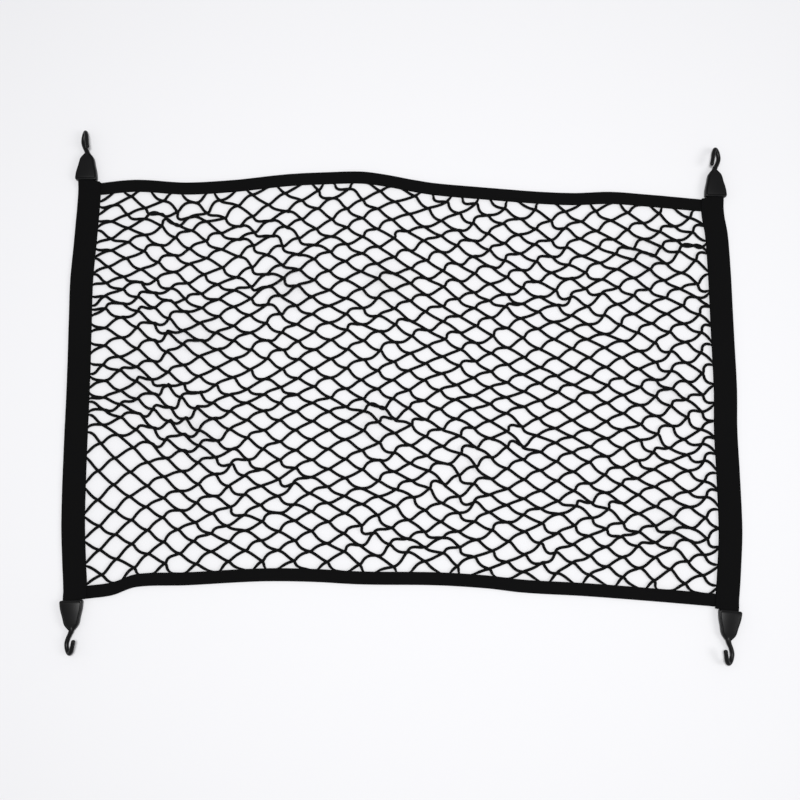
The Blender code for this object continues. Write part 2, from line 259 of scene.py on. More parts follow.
grain_group, grain_in, grain_out = new_group(
    "moulded_grain",
    [("Place", "Vector", None), ("Grains per metre", "Float", 1500.0)],
    [("Height", "Float", None)])
fine_grain = noise_node(grain_group, grain_in.outputs["Place"], grain_in.outputs["Grains per metre"],
                        GRAIN_DETAIL)
slow_swell = noise_node(grain_group, grain_in.outputs["Place"], SWELLS_PER_METRE, SWELL_DETAIL)
feed(grain_group, grain_out.inputs["Height"],
     math_node(grain_group, "MULTIPLY_ADD", slow_swell, SWELL_SHARE, fine_grain))
print("node groups:", [g.name for g in bpy.data.node_groups])

# %% [markdown]
# Each material starts the same way: patchy black by the place on the object, then a bump from its own
# relief. The numbers are what the photo shows: the webbing is a deep, flat black, the cord nearly the
# same, and the clips a dark grey with a soft shine.

# %% Start of a material
Finish = namedtuple("Finish", "deep faded patches specks roughness relief")
FINISHES = {
    "webbing": Finish((0.0008, 0.0008, 0.0009), (0.0026, 0.0026, 0.0028), 9.0, 1400.0, 0.85, 0.12),
    "cord": Finish((0.0012, 0.0012, 0.0013), (0.0030, 0.0030, 0.0032), 14.0, 1800.0, 0.80, 0.16),
    "plastic": Finish((0.0028, 0.0028, 0.0030), (0.0062, 0.0062, 0.0065), 45.0, 2600.0, 0.34, 0.02),
}


def start_material(name):
    """A black material with its fade in place and a bump node waiting for a height."""
    finish = FINISHES[name]
    material = bpy.data.materials.new("black_" + name)
    material.use_nodes = True
    tree = material.node_tree
    shader = tree.nodes["Principled BSDF"]
    shader.inputs["Roughness"].default_value = finish.roughness
    place = add_node(tree, "ShaderNodeTexCoord")
    fade = add_node(tree, "ShaderNodeGroup", node_tree=fade_group)
    fade.inputs["Deep"].default_value = (*finish.deep, 1.0)
    fade.inputs["Faded"].default_value = (*finish.faded, 1.0)
    fade.inputs["Patches per metre"].default_value = finish.patches
    fade.inputs["Specks per metre"].default_value = finish.specks
    bump = add_node(tree, "ShaderNodeBump")
    bump.inputs["Distance"].default_value = finish.relief * MM
    link_all(tree, [(place, "Object", fade, "Place"), (fade, "Colour", shader, "Base Color"),
                    (bump, "Normal", shader, "Normal")])
    return material, tree, shader, place, bump


def add_thread_relief(tree, bump, across_per_metre, along_per_metre, crossing, second_share):
    """Threads counted from the piece's own UV map: u is metres across or round, v metres along."""
    uv = add_node(tree, "ShaderNodeUVMap", uv_map="UVMap")
    parts = add_node(tree, "ShaderNodeSeparateXYZ")
    link_all(tree, [(uv, "UV", parts, "Vector")])
    across = math_node(tree, "MULTIPLY", parts.outputs["X"], across_per_metre)
    along = math_node(tree, "MULTIPLY", parts.outputs["Y"], along_per_metre)
    threads = add_node(tree, "ShaderNodeGroup", node_tree=thread_group)
    threads.inputs["Second share"].default_value = second_share
    if crossing:
        first, second = math_node(tree, "ADD", across, along), math_node(tree, "SUBTRACT", across, along)
    else:
        first, second = along, across
    feed(tree, threads.inputs["First threads"], first)
    feed(tree, threads.inputs["Second threads"], second)
    link_all(tree, [(threads, "Height", bump, "Height")])


# %% Webbing, cord and plastic
CORD_RADIUS = 1.75
BRAID_THREADS = 8
BRAID_STEP = 1.6
RIB_STEP = 1.1
WARP_STEP = 0.8
WARP_SHARE = 0.6
CLOTH_SHEEN = 0.02
CLOTH_SHEEN_ROUGHNESS = 0.5
CLOTH_GLOSS = 0.1
PLASTIC_GLOSS = 0.2

webbing, webbing_tree, webbing_shader, _, webbing_bump = start_material("webbing")
add_thread_relief(webbing_tree, webbing_bump, 1 / (WARP_STEP * MM), 1 / (RIB_STEP * MM), False, WARP_SHARE)
cord, cord_tree, cord_shader, _, cord_bump = start_material("cord")
round_the_cord = 2 * math.pi * CORD_RADIUS * MM
add_thread_relief(cord_tree, cord_bump, BRAID_THREADS / round_the_cord, 1 / (BRAID_STEP * MM), True, 1.0)
for cloth_shader in (webbing_shader, cord_shader):
    cloth_shader.inputs["Sheen Weight"].default_value = CLOTH_SHEEN
    cloth_shader.inputs["Sheen Roughness"].default_value = CLOTH_SHEEN_ROUGHNESS
    cloth_shader.inputs["Specular IOR Level"].default_value = CLOTH_GLOSS

plastic, plastic_tree, plastic_shader, plastic_place, plastic_bump = start_material("plastic")
plastic_shader.inputs["Specular IOR Level"].default_value = PLASTIC_GLOSS
grain = add_node(plastic_tree, "ShaderNodeGroup", node_tree=grain_group)
link_all(plastic_tree, [(plastic_place, "Object", grain, "Place"), (grain, "Height", plastic_bump, "Height")])
print("materials:", [m.name for m in (webbing, cord, plastic)])


# %% [markdown]
# ## The outline of the four bands
#
# The bands are sewn tape, and the net doesn't lie quite straight. Each outer edge is a short table of
# places along it, read through a smooth curve. The tables are the CAD's own, so the bands here lie where its
# solids are.

# %% Edges
HemPoint = namedtuple("HemPoint", "x y")
SidePoint = namedtuple("SidePoint", "y x")
TOP_EDGE = [
    HemPoint(-372, 255.5), HemPoint(-325, 260.0), HemPoint(-264, 256.5), HemPoint(-203, 260.0),
    HemPoint(-141, 267.0), HemPoint(-95, 269.5), HemPoint(-49, 270.5), HemPoint(-18, 266.5),
    HemPoint(12, 260.5), HemPoint(43, 255.5), HemPoint(104, 250.0), HemPoint(165, 245.0),
    HemPoint(211, 243.0), HemPoint(257, 244.5), HemPoint(303, 241.0), HemPoint(372, 234.5),
]
BOTTOM_EDGE = [
    HemPoint(-366, -247.0), HemPoint(-336, -243.0), HemPoint(-308, -233.5), HemPoint(-250, -231.5),
    HemPoint(-163, -227.0), HemPoint(-105, -227.5), HemPoint(-46, -230.5), HemPoint(41, -231.5),
    HemPoint(99, -235.0), HemPoint(143, -240.0), HemPoint(215, -244.0), HemPoint(301, -250.5),
    HemPoint(366, -256.0),
]
LEFT_EDGE = [
    SidePoint(-255, -391.5), SidePoint(-230, -393.0), SidePoint(-202, -395.5), SidePoint(-156, -398.5),
    SidePoint(-85, -399.5), SidePoint(10, -399.5), SidePoint(83, -400.5), SidePoint(133, -401.0),
    SidePoint(183, -398.5), SidePoint(234, -396.3), SidePoint(262, -396.0),
]
RIGHT_EDGE = [
    SidePoint(-266, 390.0), SidePoint(-240, 393.2), SidePoint(-214, 396.0), SidePoint(-167, 399.7),
    SidePoint(-97, 399.7), SidePoint(-50, 399.2), SidePoint(-2, 401.0), SidePoint(71, 400.5),
    SidePoint(145, 400.0), SidePoint(190, 398.5), SidePoint(215, 395.3), SidePoint(241, 394.8),
]


def smooth_line(rows):
    """Return a function that reads a smooth curve through a two-column table, for one place or many."""
    places = np.array([row[0] for row in rows], float)
    values = np.array([row[1] for row in rows], float)
    before = np.maximum(np.arange(len(rows)) - 1, 0)
    after = np.minimum(np.arange(len(rows)) + 1, len(rows) - 1)
    slopes = (values[after] - values[before]) / (places[after] - places[before])

    def read(place):
        place = np.asarray(place, float)
        i = np.clip(np.searchsorted(places, place, side="right") - 1, 0, len(rows) - 2)
        span = places[i + 1] - places[i]
        t = np.clip((place - places[i]) / span, 0.0, 1.0)
        curve = (values[i] * (2 * t**3 - 3 * t**2 + 1) + values[i + 1] * (3 * t**2 - 2 * t**3)
                 + span * (slopes[i] * (t**3 - 2 * t**2 + t) + slopes[i + 1] * (t**3 - t**2)))
        past = place - np.clip(place, places[0], places[-1])
        return curve + past * np.where(place < places[0], slopes[0], slopes[-1])

    return read


def smooth_step(value, start, end):
    """0 before the start, 1 past the end, and an even S between them."""
    t = np.clip((np.asarray(value, float) - start) / (end - start), 0.0, 1.0)
    return t * t * (3.0 - 2.0 * t)


def blend(start, end, share):
    """The value that lies at a share of the way from start to end."""
    return start + (end - start) * share


SIDES = {"left": -1, "right": 1}
ENDS = {"top": 1, "bottom": -1}
side_edges = {-1: smooth_line(LEFT_EDGE), 1: smooth_line(RIGHT_EDGE)}
hem_edges = {1: smooth_line(TOP_EDGE), -1: smooth_line(BOTTOM_EDGE)}
print("outer width at y = 0:", round(float(side_edges[1](0) - side_edges[-1](0)), 1), "mm")

# %% Widths of the bands, and where each clip closes a side band
SIDE_WIDTH = 27.5
HEM_WIDTH = 15.0
BAND_THICKNESS = 4.0
TAPE = 1.1
STRAP_WIDTH = 20.0
STRAP_RISE_LENGTH = 12.0
STRAP_TAPER_LENGTH = 2.4
STRAP_STRAIGHT = 0.8
STRAP_INSERT = 3.5
CLIP_THICKNESS = 8.8

Clip = namedtuple("Clip", "name side end mouth hook_tilt arm_extra")
CLIPS = [
    Clip("clip_top_left", -1, 1, 258.5, 54, 8.0),
    Clip("clip_top_right", 1, 1, 237.0, 40, 8.0),
    Clip("clip_bottom_left", -1, -1, -248.5, 43, 0.8),
    Clip("clip_bottom_right", 1, -1, -260.0, 43, 0.8),
]
mouths = {(clip.side, clip.end): clip.mouth for clip in CLIPS}


def near_clip(side, y, reach):
    """0 along a side band, rising over the reach to 1 just before the clip that closes it."""
    nearest = np.minimum(mouths[side, 1] - np.asarray(y, float), y - mouths[side, -1])
    return 1.0 - smooth_step(nearest, STRAP_STRAIGHT, reach)


def side_width(side, y):
    """Width of a side band, which narrows to the strap just before its clip."""
    return blend(SIDE_WIDTH, STRAP_WIDTH, near_clip(side, y, STRAP_TAPER_LENGTH))


def side_inner(side, y):
    """Where the inner edge of a side band lies."""
    return side_edges[side](y) - side * side_width(side, y)


def hem_inner(end, x):
    """Where the inner edge of a hem lies."""
    return hem_edges[end](x) - end * HEM_WIDTH


panel_middle = [float(side_inner(1, 0) - side_inner(-1, 0)), float(hem_inner(1, 0) - hem_inner(-1, 0))]
print("open panel across its middle:", [round(size, 1) for size in panel_middle], "mm")


# %% [markdown]
# ## The net
#
# The real net is knitted from elastic cord. Where two cords meet they are knitted into one for a few
# millimetres and then part again, so the joints sit on a staggered grid and every opening is a diamond with
# curved sides. The cord between two joints is always about the same length. Where the net is pulled it is
# straight, and where the net is slack it bends into a wave.
#
# Drawing some 1,700 curves by hand would never look right, so the net is laid the way a real one is. Each
# cord is a chain of points that runs right across the net and shares a point with every cord it meets, and
# a few hundred rounds of relaxing bring every link of it to its length and every chain to its easiest bend.
# A little unevenness in the cords, and the places where the net has been pushed together, keep it from being
# a perfect pattern.

# %% Where the even net lies
HALF_COLUMNS = 39
HALF_ROWS = 43
KNOT_IN_BAND = 3.0
KNOT_IN_HEM = 1.0
CORD_LENGTH = 25.1
CORD_POINTS = 6
FIRST_HALF_HEIGHT = 237.0
PLACE_ROUNDS = 4

knots = np.array([(i, j) for j in range(HALF_ROWS + 1) for i in range(HALF_COLUMNS + 1)
                  if (i + j) % 2 == 0])
knot_number = {tuple(knot): number for number, knot in enumerate(knots)}


def net_place(across, up):
    """Places in the panel by shares of its width and height, read from band to band.

    The width there depends on how far up a place lies, and the height on how far across, so a few rounds
    settle both.
    """
    y = blend(-FIRST_HALF_HEIGHT, FIRST_HALF_HEIGHT, up)
    for _ in range(PLACE_ROUNDS):
        x = blend(side_inner(-1, y) - KNOT_IN_BAND, side_inner(1, y) + KNOT_IN_BAND, across)
        y = blend(hem_inner(-1, x) - KNOT_IN_HEM, hem_inner(1, x) + KNOT_IN_HEM, up)
    return np.stack([x, y], axis=-1)


even_places = net_place(knots[:, 0] / HALF_COLUMNS, knots[:, 1] / HALF_ROWS)
held = ((knots[:, 0] == 0) | (knots[:, 0] == HALF_COLUMNS)
        | (knots[:, 1] == 0) | (knots[:, 1] == HALF_ROWS))
print("joints:", len(knots), "of which sewn into the bands:", int(held.sum()))

# %% [markdown]
# The net was pushed about by hand when it was laid down. Each row of the table moves the joints round one
# place: by a shift, by a squeeze towards the place's own middle that makes the cords there buckle, and by a
# lean that turns the joints. The first rows are wide, and the others are single kinks. On top of them every
# joint gets a small shift and lean by chance, alike for its neighbours. A shift towards or away from a band
# fades out at that band, so a joint that is sewn into it only slides along it.

# %% Where the net has been pushed about
Gather = namedtuple("Gather", "x y reach_x reach_y shift_x shift_y squeeze_x squeeze_y lean")
GATHERS = [
    Gather(-372, -105, 95, 60, 0, 34, 0.0, 0.0, 0),
    Gather(-372, 20, 110, 150, 0, 32, 0.0, 0.0, 0),
    Gather(-250, -120, 110, 90, 0, 0, 0.0, 0.0, -6),
    Gather(-300, 200, 70, 40, 0, 0, 0.0, 0.15, 8),
    Gather(-65, 78, 45, 28, 0, 0, -0.08, 0.14, 4),
    Gather(228, 138, 55, 28, 0, 0, -0.06, 0.16, 4),
    Gather(370, 120, 80, 70, 0, 11, 0.0, 0.0, 0),
    Gather(318, -176, 60, 22, 0, 0, 0.0, 0.30, 6),
    Gather(345, 195, 40, 26, 0, -3, 0.0, 0.40, 6),
    Gather(-354, 34, 26, 10, 0, 0, 0.0, 0.60, -15),
    Gather(-326, 14, 26, 10, 0, 0, 0.0, 0.60, -15),
    Gather(-296, -8, 26, 10, 0, 0, 0.0, 0.60, -15),
    Gather(-246, 208, 26, 10, 0, 0, 0.0, 0.70, 25),
    Gather(-282, 49, 14, 22, 0, 0, 0.35, 0.0, 50),
    Gather(-255, 110, 14, 20, 0, 0, 0.35, 0.0, -50),
    Gather(-251, -42, 14, 18, 0, 0, 0.35, 0.0, 50),
    Gather(-273, -74, 14, 18, 0, 0, 0.35, 0.0, 45),
    Gather(-198, -87, 14, 18, 0, 0, 0.35, 0.0, 45),
    Gather(-138, 190, 14, 34, 0, 0, 0.25, 0.0, -30),
    Gather(-134, 132, 16, 16, 0, 5, 0.35, 0.0, 30),
    Gather(-140, 100, 15, 18, 0, 4, 0.35, 0.0, -55),
    Gather(-134, 56, 26, 11, 0, 0, 0.10, 0.60, -20),
    Gather(-124, -118, 15, 20, 0, 0, 0.35, 0.0, 45),
    Gather(-25, 107, 12, 18, 0, 3, 0.35, 0.0, 50),
    Gather(-22, -40, 15, 18, 0, 0, 0.35, 0.0, -30),
    Gather(-20, -72, 15, 16, 0, 0, 0.35, 0.0, 35),
    Gather(-20, -173, 18, 14, 0, 0, 0.30, 0.2, 50),
    Gather(5, -196, 18, 14, 0, 0, 0.30, 0.2, 45),
    Gather(54, -112, 16, 20, 0, 0, 0.35, 0.0, -45),
    Gather(94, -88, 16, 20, 0, 0, 0.35, 0.0, -50),
    Gather(88, -130, 14, 16, 0, 0, 0.35, 0.0, 50),
    Gather(139, -69, 16, 20, 0, 0, 0.35, 0.0, -50),
    Gather(174, -196, 18, 22, 0, 0, 0.35, 0.0, 50),
    Gather(204, 187, 12, 14, 0, 0, 0.30, 0.0, 50),
    Gather(203, 117, 12, 14, 0, 0, 0.30, 0.0, 50),
    Gather(242, 100, 12, 14, 0, 0, 0.30, 0.0, 50),
    Gather(321, 41, 16, 22, 0, 0, 0.35, 0.0, 40),
    Gather(345, 158, 14, 22, 0, 0, 0.30, 0.0, 50),
    Gather(345, 20, 14, 18, 0, 0, 0.30, 0.0, -40),
    Gather(352, -85, 16, 20, 0, 0, 0.30, 0.0, 45),
    Gather(352, -135, 16, 20, 0, 0, 0.30, 0.0, 45),
    Gather(343, -205, 14, 16, 0, 0, 0.30, 0.0, -50),
    Gather(336, -230, 30, 10, 0, 0, 0.0, 0.50, 0),
]
print("places pushed about by hand:", len(GATHERS))

# %% A little chance for every joint
LEAN = -2.0
Uneven = namedtuple("Uneven", "spread_across spread_up size")
SHIFT_UNEVEN_X = Uneven(1.4, 1.0, 2.6)
SHIFT_UNEVEN_Y = Uneven(1.8, 0.8, 1.6)
LEAN_UNEVEN = Uneven(2.6, 2.2, 12.0)
SPREADS_KEPT = 3
SEED = 6
random = np.random.default_rng(SEED)


def uneven(spread_across, spread_up, size):
    """A smooth random number for every joint, alike for neighbours within the spreads."""
    field = random.normal(size=(HALF_COLUMNS + 1, HALF_ROWS + 1))
    for axis, spread in ((0, spread_across), (1, spread_up)):
        reach = math.ceil(SPREADS_KEPT * spread)
        steps = np.arange(-reach, reach + 1)
        weights = np.exp(-steps**2 / (2 * spread**2))
        field = np.apply_along_axis(lambda row: np.convolve(row, weights, "same"), axis, field)
    return size * field[knots[:, 0], knots[:, 1]] / field.std()


shift = np.stack([uneven(*SHIFT_UNEVEN_X), uneven(*SHIFT_UNEVEN_Y)], axis=-1)
wanted_lean = LEAN + uneven(*LEAN_UNEVEN)
print("shifts by chance, up to", np.abs(shift).max(axis=0).round(1).tolist(), "mm")

# %% Push the net about
HELD_FADE = 40.0

for gather in GATHERS:
    away_x, away_y = even_places[:, 0] - gather.x, even_places[:, 1] - gather.y
    weight = np.exp(-(away_x / gather.reach_x)**2 - (away_y / gather.reach_y)**2)
    shift[:, 0] += (gather.shift_x - gather.squeeze_x * away_x) * weight
    shift[:, 1] += (gather.shift_y - gather.squeeze_y * away_y) * weight
    wanted_lean += gather.lean * weight
net_size = np.ptp(even_places, axis=0)
to_edge = np.minimum(knots, [HALF_COLUMNS, HALF_ROWS] - knots) / [HALF_COLUMNS, HALF_ROWS] * net_size
shares = knots / [HALF_COLUMNS, HALF_ROWS] + shift * smooth_step(to_edge, 0, HELD_FADE) / net_size
wanted_places = net_place(shares[:, 0], shares[:, 1])
wanted_lean[held] = 0.0
moved = np.linalg.norm(wanted_places - even_places, axis=1)
print("joints pushed by up to", round(float(moved.max()), 1), "mm")

# %% [markdown]
# Points are numbered in one long array: the joints first, then the points along every cord between two
# joints. Each way across the net, rising or falling to the right, has its own table of cords, with one row
# for each: the joint it leaves, its own points, and the joint it reaches. Two more tables give the point
# that comes just before and just after each joint.

# %% Cords between the joints
steps_up = {"rising": 1, "falling": -1}
knot_count = len(knots)
point_total = knot_count
chains, before, after = {}, {}, {}
for way, up in steps_up.items():
    ends = np.array([(number, knot_number[i + 1, j + up]) for (i, j), number in knot_number.items()
                     if (i + 1, j + up) in knot_number])
    between = point_total + np.arange(len(ends) * CORD_POINTS).reshape(-1, CORD_POINTS)
    point_total += between.size
    chains[way] = np.hstack([ends[:, :1], between, ends[:, 1:]])
    before[way], after[way] = np.full(knot_count, -1), np.full(knot_count, -1)
    after[way][ends[:, 0]] = between[:, 0]
    before[way][ends[:, 1]] = between[:, -1]

points = np.zeros((point_total, 2))
points[:knot_count] = wanted_places
for chain in chains.values():
    for step in range(1, CORD_POINTS + 1):
        share = step / (CORD_POINTS + 1)
        start, end = points[chain[:, 0]], points[chain[:, -1]]
        points[chain[:, step], 0] = blend(start[:, 0], end[:, 0], share)
        points[chain[:, step], 1] = blend(start[:, 1], end[:, 1], smooth_step(share, 0, 1))
freedom = np.ones(point_total)
freedom[:knot_count][held] = 0.0
print("cords:", sum(len(chain) for chain in chains.values()), "points:", point_total)

# %% [markdown]
# One round of relaxing does four things. It drags each joint a little towards where it was pushed, which
# stands for the grip of the ground. It moves every three points in a row towards an easy bend, also
# through the joints, with a small curl of its own for each cord. It draws the two cords of a joint
# together on both sides of it, and turns them towards the joint's lean. Then it sets each link back to its
# length. No two links of a batch share a point, so numpy can move a whole batch at once.

# %% Batches of links, bends and pairs
TURN_GRIP = 0.10
CURL = 0.04
LENGTH_UNEVEN = 0.02

bends, links, pairs = [], [], []
link_length = CORD_LENGTH / (CORD_POINTS + 1)
for chain in chains.values():
    curl = random.normal(0.0, CURL, len(chain))
    lengths = link_length * (1 + random.normal(0.0, LENGTH_UNEVEN, len(chain)))
    for step in range(CORD_POINTS + 1):
        links.append((chain[:, step], chain[:, step + 1], lengths))
        if step:
            bends.append((chain[:, step - 1], chain[:, step], chain[:, step + 1], curl))
for comes, goes in (("rising", "rising"), ("falling", "falling"), ("rising", "falling"),
                    ("falling", "rising")):
    through = (before[comes] >= 0) & (after[goes] >= 0) & ((comes == goes) | held)
    through = np.flatnonzero(through)
    bends.append((before[comes][through], through, after[goes][through], np.zeros(len(through))))
for side, table in ((-1, before), (1, after)):
    both = np.flatnonzero((table["rising"] >= 0) & (table["falling"] >= 0))
    turned = np.radians(wanted_lean[both])
    reach = side * link_length * np.stack([np.cos(turned), np.sin(turned)], axis=-1)
    grip = np.where(held[both], 0.0, TURN_GRIP)[:, None]
    pairs.append((table["rising"][both], table["falling"][both], both, reach, grip))
print("batches:", len(links), "of links,", len(bends), "of bends,", len(pairs), "of pairs")

# %% Relax the net
ROUNDS = 380
GROUND_GRIP = 0.02
CORD_STIFFNESS = 0.8
JOINT_SPREAD = 1.6
JOINT_PULL = 0.10
TINY = 1e-9


def ease_bend(first, middle, last, curl):
    """Move three batches of points towards an evenly curled line."""
    chord = points[last] - points[first]
    sideways = np.stack([-chord[:, 1], chord[:, 0]], axis=-1)
    sideways /= np.linalg.norm(chord, axis=1, keepdims=True) + TINY
    off = (points[first] + points[last]) / 2 - points[middle] + sideways * curl[:, None]
    total = freedom[middle] + (freedom[first] + freedom[last]) / 4 + TINY
    off *= (CORD_STIFFNESS / total)[:, None]
    points[middle] += off * freedom[middle, None]
    points[first] -= off * freedom[first, None] / 2
    points[last] -= off * freedom[last, None] / 2


def ease_joint(first, second, joint, reach, grip):
    """Draw the two cords beside a joint together, and turn them towards its lean."""
    gap = points[second] - points[first]
    now = np.linalg.norm(gap, axis=1, keepdims=True) + TINY
    draw = gap * (1 - JOINT_SPREAD / now) / 2 * JOINT_PULL
    turn = (points[joint] + reach - (points[first] + points[second]) / 2) * grip
    points[first] += draw + turn
    points[second] += turn - draw


def set_length(first, last, length):
    """Bring two batches of points to their length apart."""
    line = points[last] - points[first]
    now = np.linalg.norm(line, axis=1) + TINY
    total = np.maximum(freedom[first] + freedom[last], TINY)
    line *= ((now - length) / now / total)[:, None]
    points[first] += line * freedom[first, None]
    points[last] -= line * freedom[last, None]


for _ in range(ROUNDS):
    joints = points[:knot_count]
    joints += (wanted_places - joints) * GROUND_GRIP * (~held)[:, None]
    for batch in bends:
        ease_bend(*batch)
    for batch in pairs:
        ease_joint(*batch)
    for batch in links:
        set_length(*batch)
joints_now = points[:knot_count].copy()
print("joints moved while relaxing by up to",
      round(float(np.linalg.norm(joints_now - wanted_places, axis=1).max()), 1), "mm")

# %% [markdown]
# Heights come last. The cords lie on the ground, climb into the slots of the bands, and stand up a little
# where the net is puckered.

# %% Heights
SLOT_HEIGHT = BAND_THICKNESS / 2
DROP_START = 2.0
DROP_END = 9.0
FREE_REACH = 60.0
Pucker = namedtuple("Pucker", "x y reach lift")
PUCKERS = [
    Pucker(-262, 240, 28, 2.6), Pucker(-132, 128, 26, 2.8), Pucker(-245, 62, 30, 2.0),
    Pucker(-318, 8, 36, 1.5), Pucker(-240, -52, 30, 2.0), Pucker(-22, 130, 26, 2.4),
    Pucker(-30, -40, 26, 1.8), Pucker(88, -88, 24, 1.5), Pucker(302, 168, 26, 1.8),
    Pucker(322, -6, 26, 1.6), Pucker(318, -158, 28, 1.6),
]


def net_height(flat):
    """Height of the cords' middle line above the ground at each place."""
    x, y = flat[:, 0], flat[:, 1]
    edge = np.minimum.reduce([x - side_inner(-1, y), side_inner(1, y) - x,
                              y - hem_inner(-1, x), hem_inner(1, x) - y])
    height = blend(SLOT_HEIGHT, CORD_RADIUS, smooth_step(edge, DROP_START, DROP_END))
    free = smooth_step(edge, DROP_START, FREE_REACH)
    for pucker in PUCKERS:
        off = np.hypot(x - pucker.x, y - pucker.y) / pucker.reach
        height = height + pucker.lift * np.exp(-off**2) * free
    return height, edge


print("highest joint:", round(float(net_height(joints_now)[0].max()), 1), "mm")

# %% Follow each cord through its joints
lines = {}
for way, chain in chains.items():
    row_of = {int(row[0]): row for row in chain}
    reached = set(int(row[-1]) for row in chain)
    lines[way] = []
    for start in row_of:
        if start in reached:
            continue
        numbers = [start]
        while numbers[-1] in row_of:
            numbers += [int(number) for number in row_of[numbers[-1]][1:]]
        flat = points[numbers]
        height, edge = net_height(flat)
        lines[way].append((np.column_stack([flat, height]), edge))
cord_metres = sum(float(np.linalg.norm(np.diff(line, axis=0), axis=1).sum())
                  for rows in lines.values() for line, _ in rows) * MM
print("cords across the net:", {way: len(rows) for way, rows in lines.items()},
      "with", round(cord_metres, 1), "m of cord")


# %% [markdown]
# ## Sweeping the cords
#
# A cord is a path with a round section, which is what Geometry Nodes are good at: one tree turns every
# polyline of a mesh into a tube. It also writes a UV map with the distance round and along the cord, for
# the braid. The tube thins a little where the girth attribute says so, as elastic does in the slots.

# %% Helpers for Geometry Nodes
def new_tree(name, inputs):
    """A geometry node tree with named inputs, and its two end nodes."""
    tree = bpy.data.node_groups.new(name, "GeometryNodeTree")
    tree.interface.new_socket("Geometry", in_out="INPUT", socket_type="NodeSocketGeometry")
    for socket_name, kind in inputs:
        tree.interface.new_socket(socket_name, in_out="INPUT", socket_type="NodeSocket" + kind)
    tree.interface.new_socket("Geometry", in_out="OUTPUT", socket_type="NodeSocketGeometry")
    return tree, tree.nodes.new("NodeGroupInput"), tree.nodes.new("NodeGroupOutput")


def end_tree(tree, geometry, source, end):
    """Close a tree with Realize Instances and Set Material."""
    realize = add_node(tree, "GeometryNodeRealizeInstances")
    material = add_node(tree, "GeometryNodeSetMaterial")
    feed(tree, realize.inputs["Geometry"], geometry)
    link_all(tree, [(realize, "Geometry", material, "Geometry"), (source, "Material", material, "Material"),
                    (material, "Geometry", end, "Geometry")])


def attribute_node(tree, name):
    """A node that reads a number kept on each point."""
    node = add_node(tree, "GeometryNodeInputNamedAttribute", data_type="FLOAT")
    node.inputs["Name"].default_value = name
    return node


def uv_node(tree):
    """A node that writes the UV map."""
    node = add_node(tree, "GeometryNodeStoreNamedAttribute", data_type="FLOAT2", domain="CORNER")
    node.inputs["Name"].default_value = "UVMap"
    return node


def bake(thing):
    """Keep what an object's modifiers make of it as its plain mesh."""
    bpy.context.view_layer.update()
    made = bpy.data.meshes.new_from_object(thing.evaluated_get(bpy.context.evaluated_depsgraph_get()))
    old = thing.data
    thing.modifiers.clear()
    thing.data = made
    bpy.data.meshes.remove(old)


def run_tree(thing, tree, values):
    """Put a tree on an object, set its inputs by identifier, and keep the result as a plain mesh."""
    modifier = thing.modifiers.new(tree.name, "NODES")
    modifier.node_group = tree
    for item in tree.interface.items_tree:
        if item.in_out == "INPUT" and item.name in values:
            modifier[item.identifier] = values[item.name]
    thing.update_tag()
    bake(thing)


# %% Tree that sweeps a cord along each polyline
sweep_tree, sweep_in, sweep_out = new_tree(
    "cord_sweep", [("Radius", "Float"), ("Sides", "Int"), ("Steps", "Int"), ("Material", "Material")])
to_curve = add_node(sweep_tree, "GeometryNodeMeshToCurve")
rounder = add_node(sweep_tree, "GeometryNodeCurveSplineType", spline_type="CATMULL_ROM")
steps = add_node(sweep_tree, "GeometryNodeSetSplineResolution")
upright = add_node(sweep_tree, "GeometryNodeSetCurveNormal", mode="Z_UP")
along = add_node(sweep_tree, "GeometryNodeCaptureAttribute")
along.capture_items.new("FLOAT", "Along")
along_place = add_node(sweep_tree, "GeometryNodeSplineParameter")
ring = add_node(sweep_tree, "GeometryNodeCurvePrimitiveCircle")
around = add_node(sweep_tree, "GeometryNodeCaptureAttribute")
around.capture_items.new("FLOAT", "Around")
around_place = add_node(sweep_tree, "GeometryNodeSplineParameter")
girth = attribute_node(sweep_tree, "girth")
tube = add_node(sweep_tree, "GeometryNodeCurveToMesh")
tube.inputs["Fill Caps"].default_value = True
pair = add_node(sweep_tree, "ShaderNodeCombineXYZ")
store = uv_node(sweep_tree)
smooth = add_node(sweep_tree, "GeometryNodeSetShadeSmooth")
link_all(sweep_tree, [
    (sweep_in, "Geometry", to_curve, "Mesh"),
    (to_curve, "Curve", rounder, "Curve"),
    (rounder, "Curve", steps, "Geometry"),
    (sweep_in, "Steps", steps, "Resolution"),
    (steps, "Geometry", upright, "Curve"),
    (upright, "Curve", along, "Geometry"),
    (along_place, "Length", along, "Along"),
    (along, "Geometry", tube, "Curve"),
    (sweep_in, "Sides", ring, "Resolution"),
    (sweep_in, "Radius", ring, "Radius"),
    (ring, "Curve", around, "Geometry"),
    (around_place, "Length", around, "Around"),
    (around, "Geometry", tube, "Profile Curve"),
    (girth, "Attribute", tube, "Scale"),
    (around, "Around", pair, "X"),
    (along, "Along", pair, "Y"),
    (tube, "Mesh", smooth, "Geometry"),
    (smooth, "Geometry", store, "Geometry"),
    (pair, "Vector", store, "Value"),
])
end_tree(sweep_tree, store.outputs["Geometry"], sweep_in, sweep_out)

# %% The rising and the falling cords
CORD_SIDES = 8
CORD_STEPS = 2
SLOT_GIRTH = 0.62
GIRTH_START = -1.0
GIRTH_END = 4.0


def triangle_count(piece):
    """How many triangles a piece's faces come to."""
    return sum(len(face.vertices) - 2 for face in piece.data.polygons)


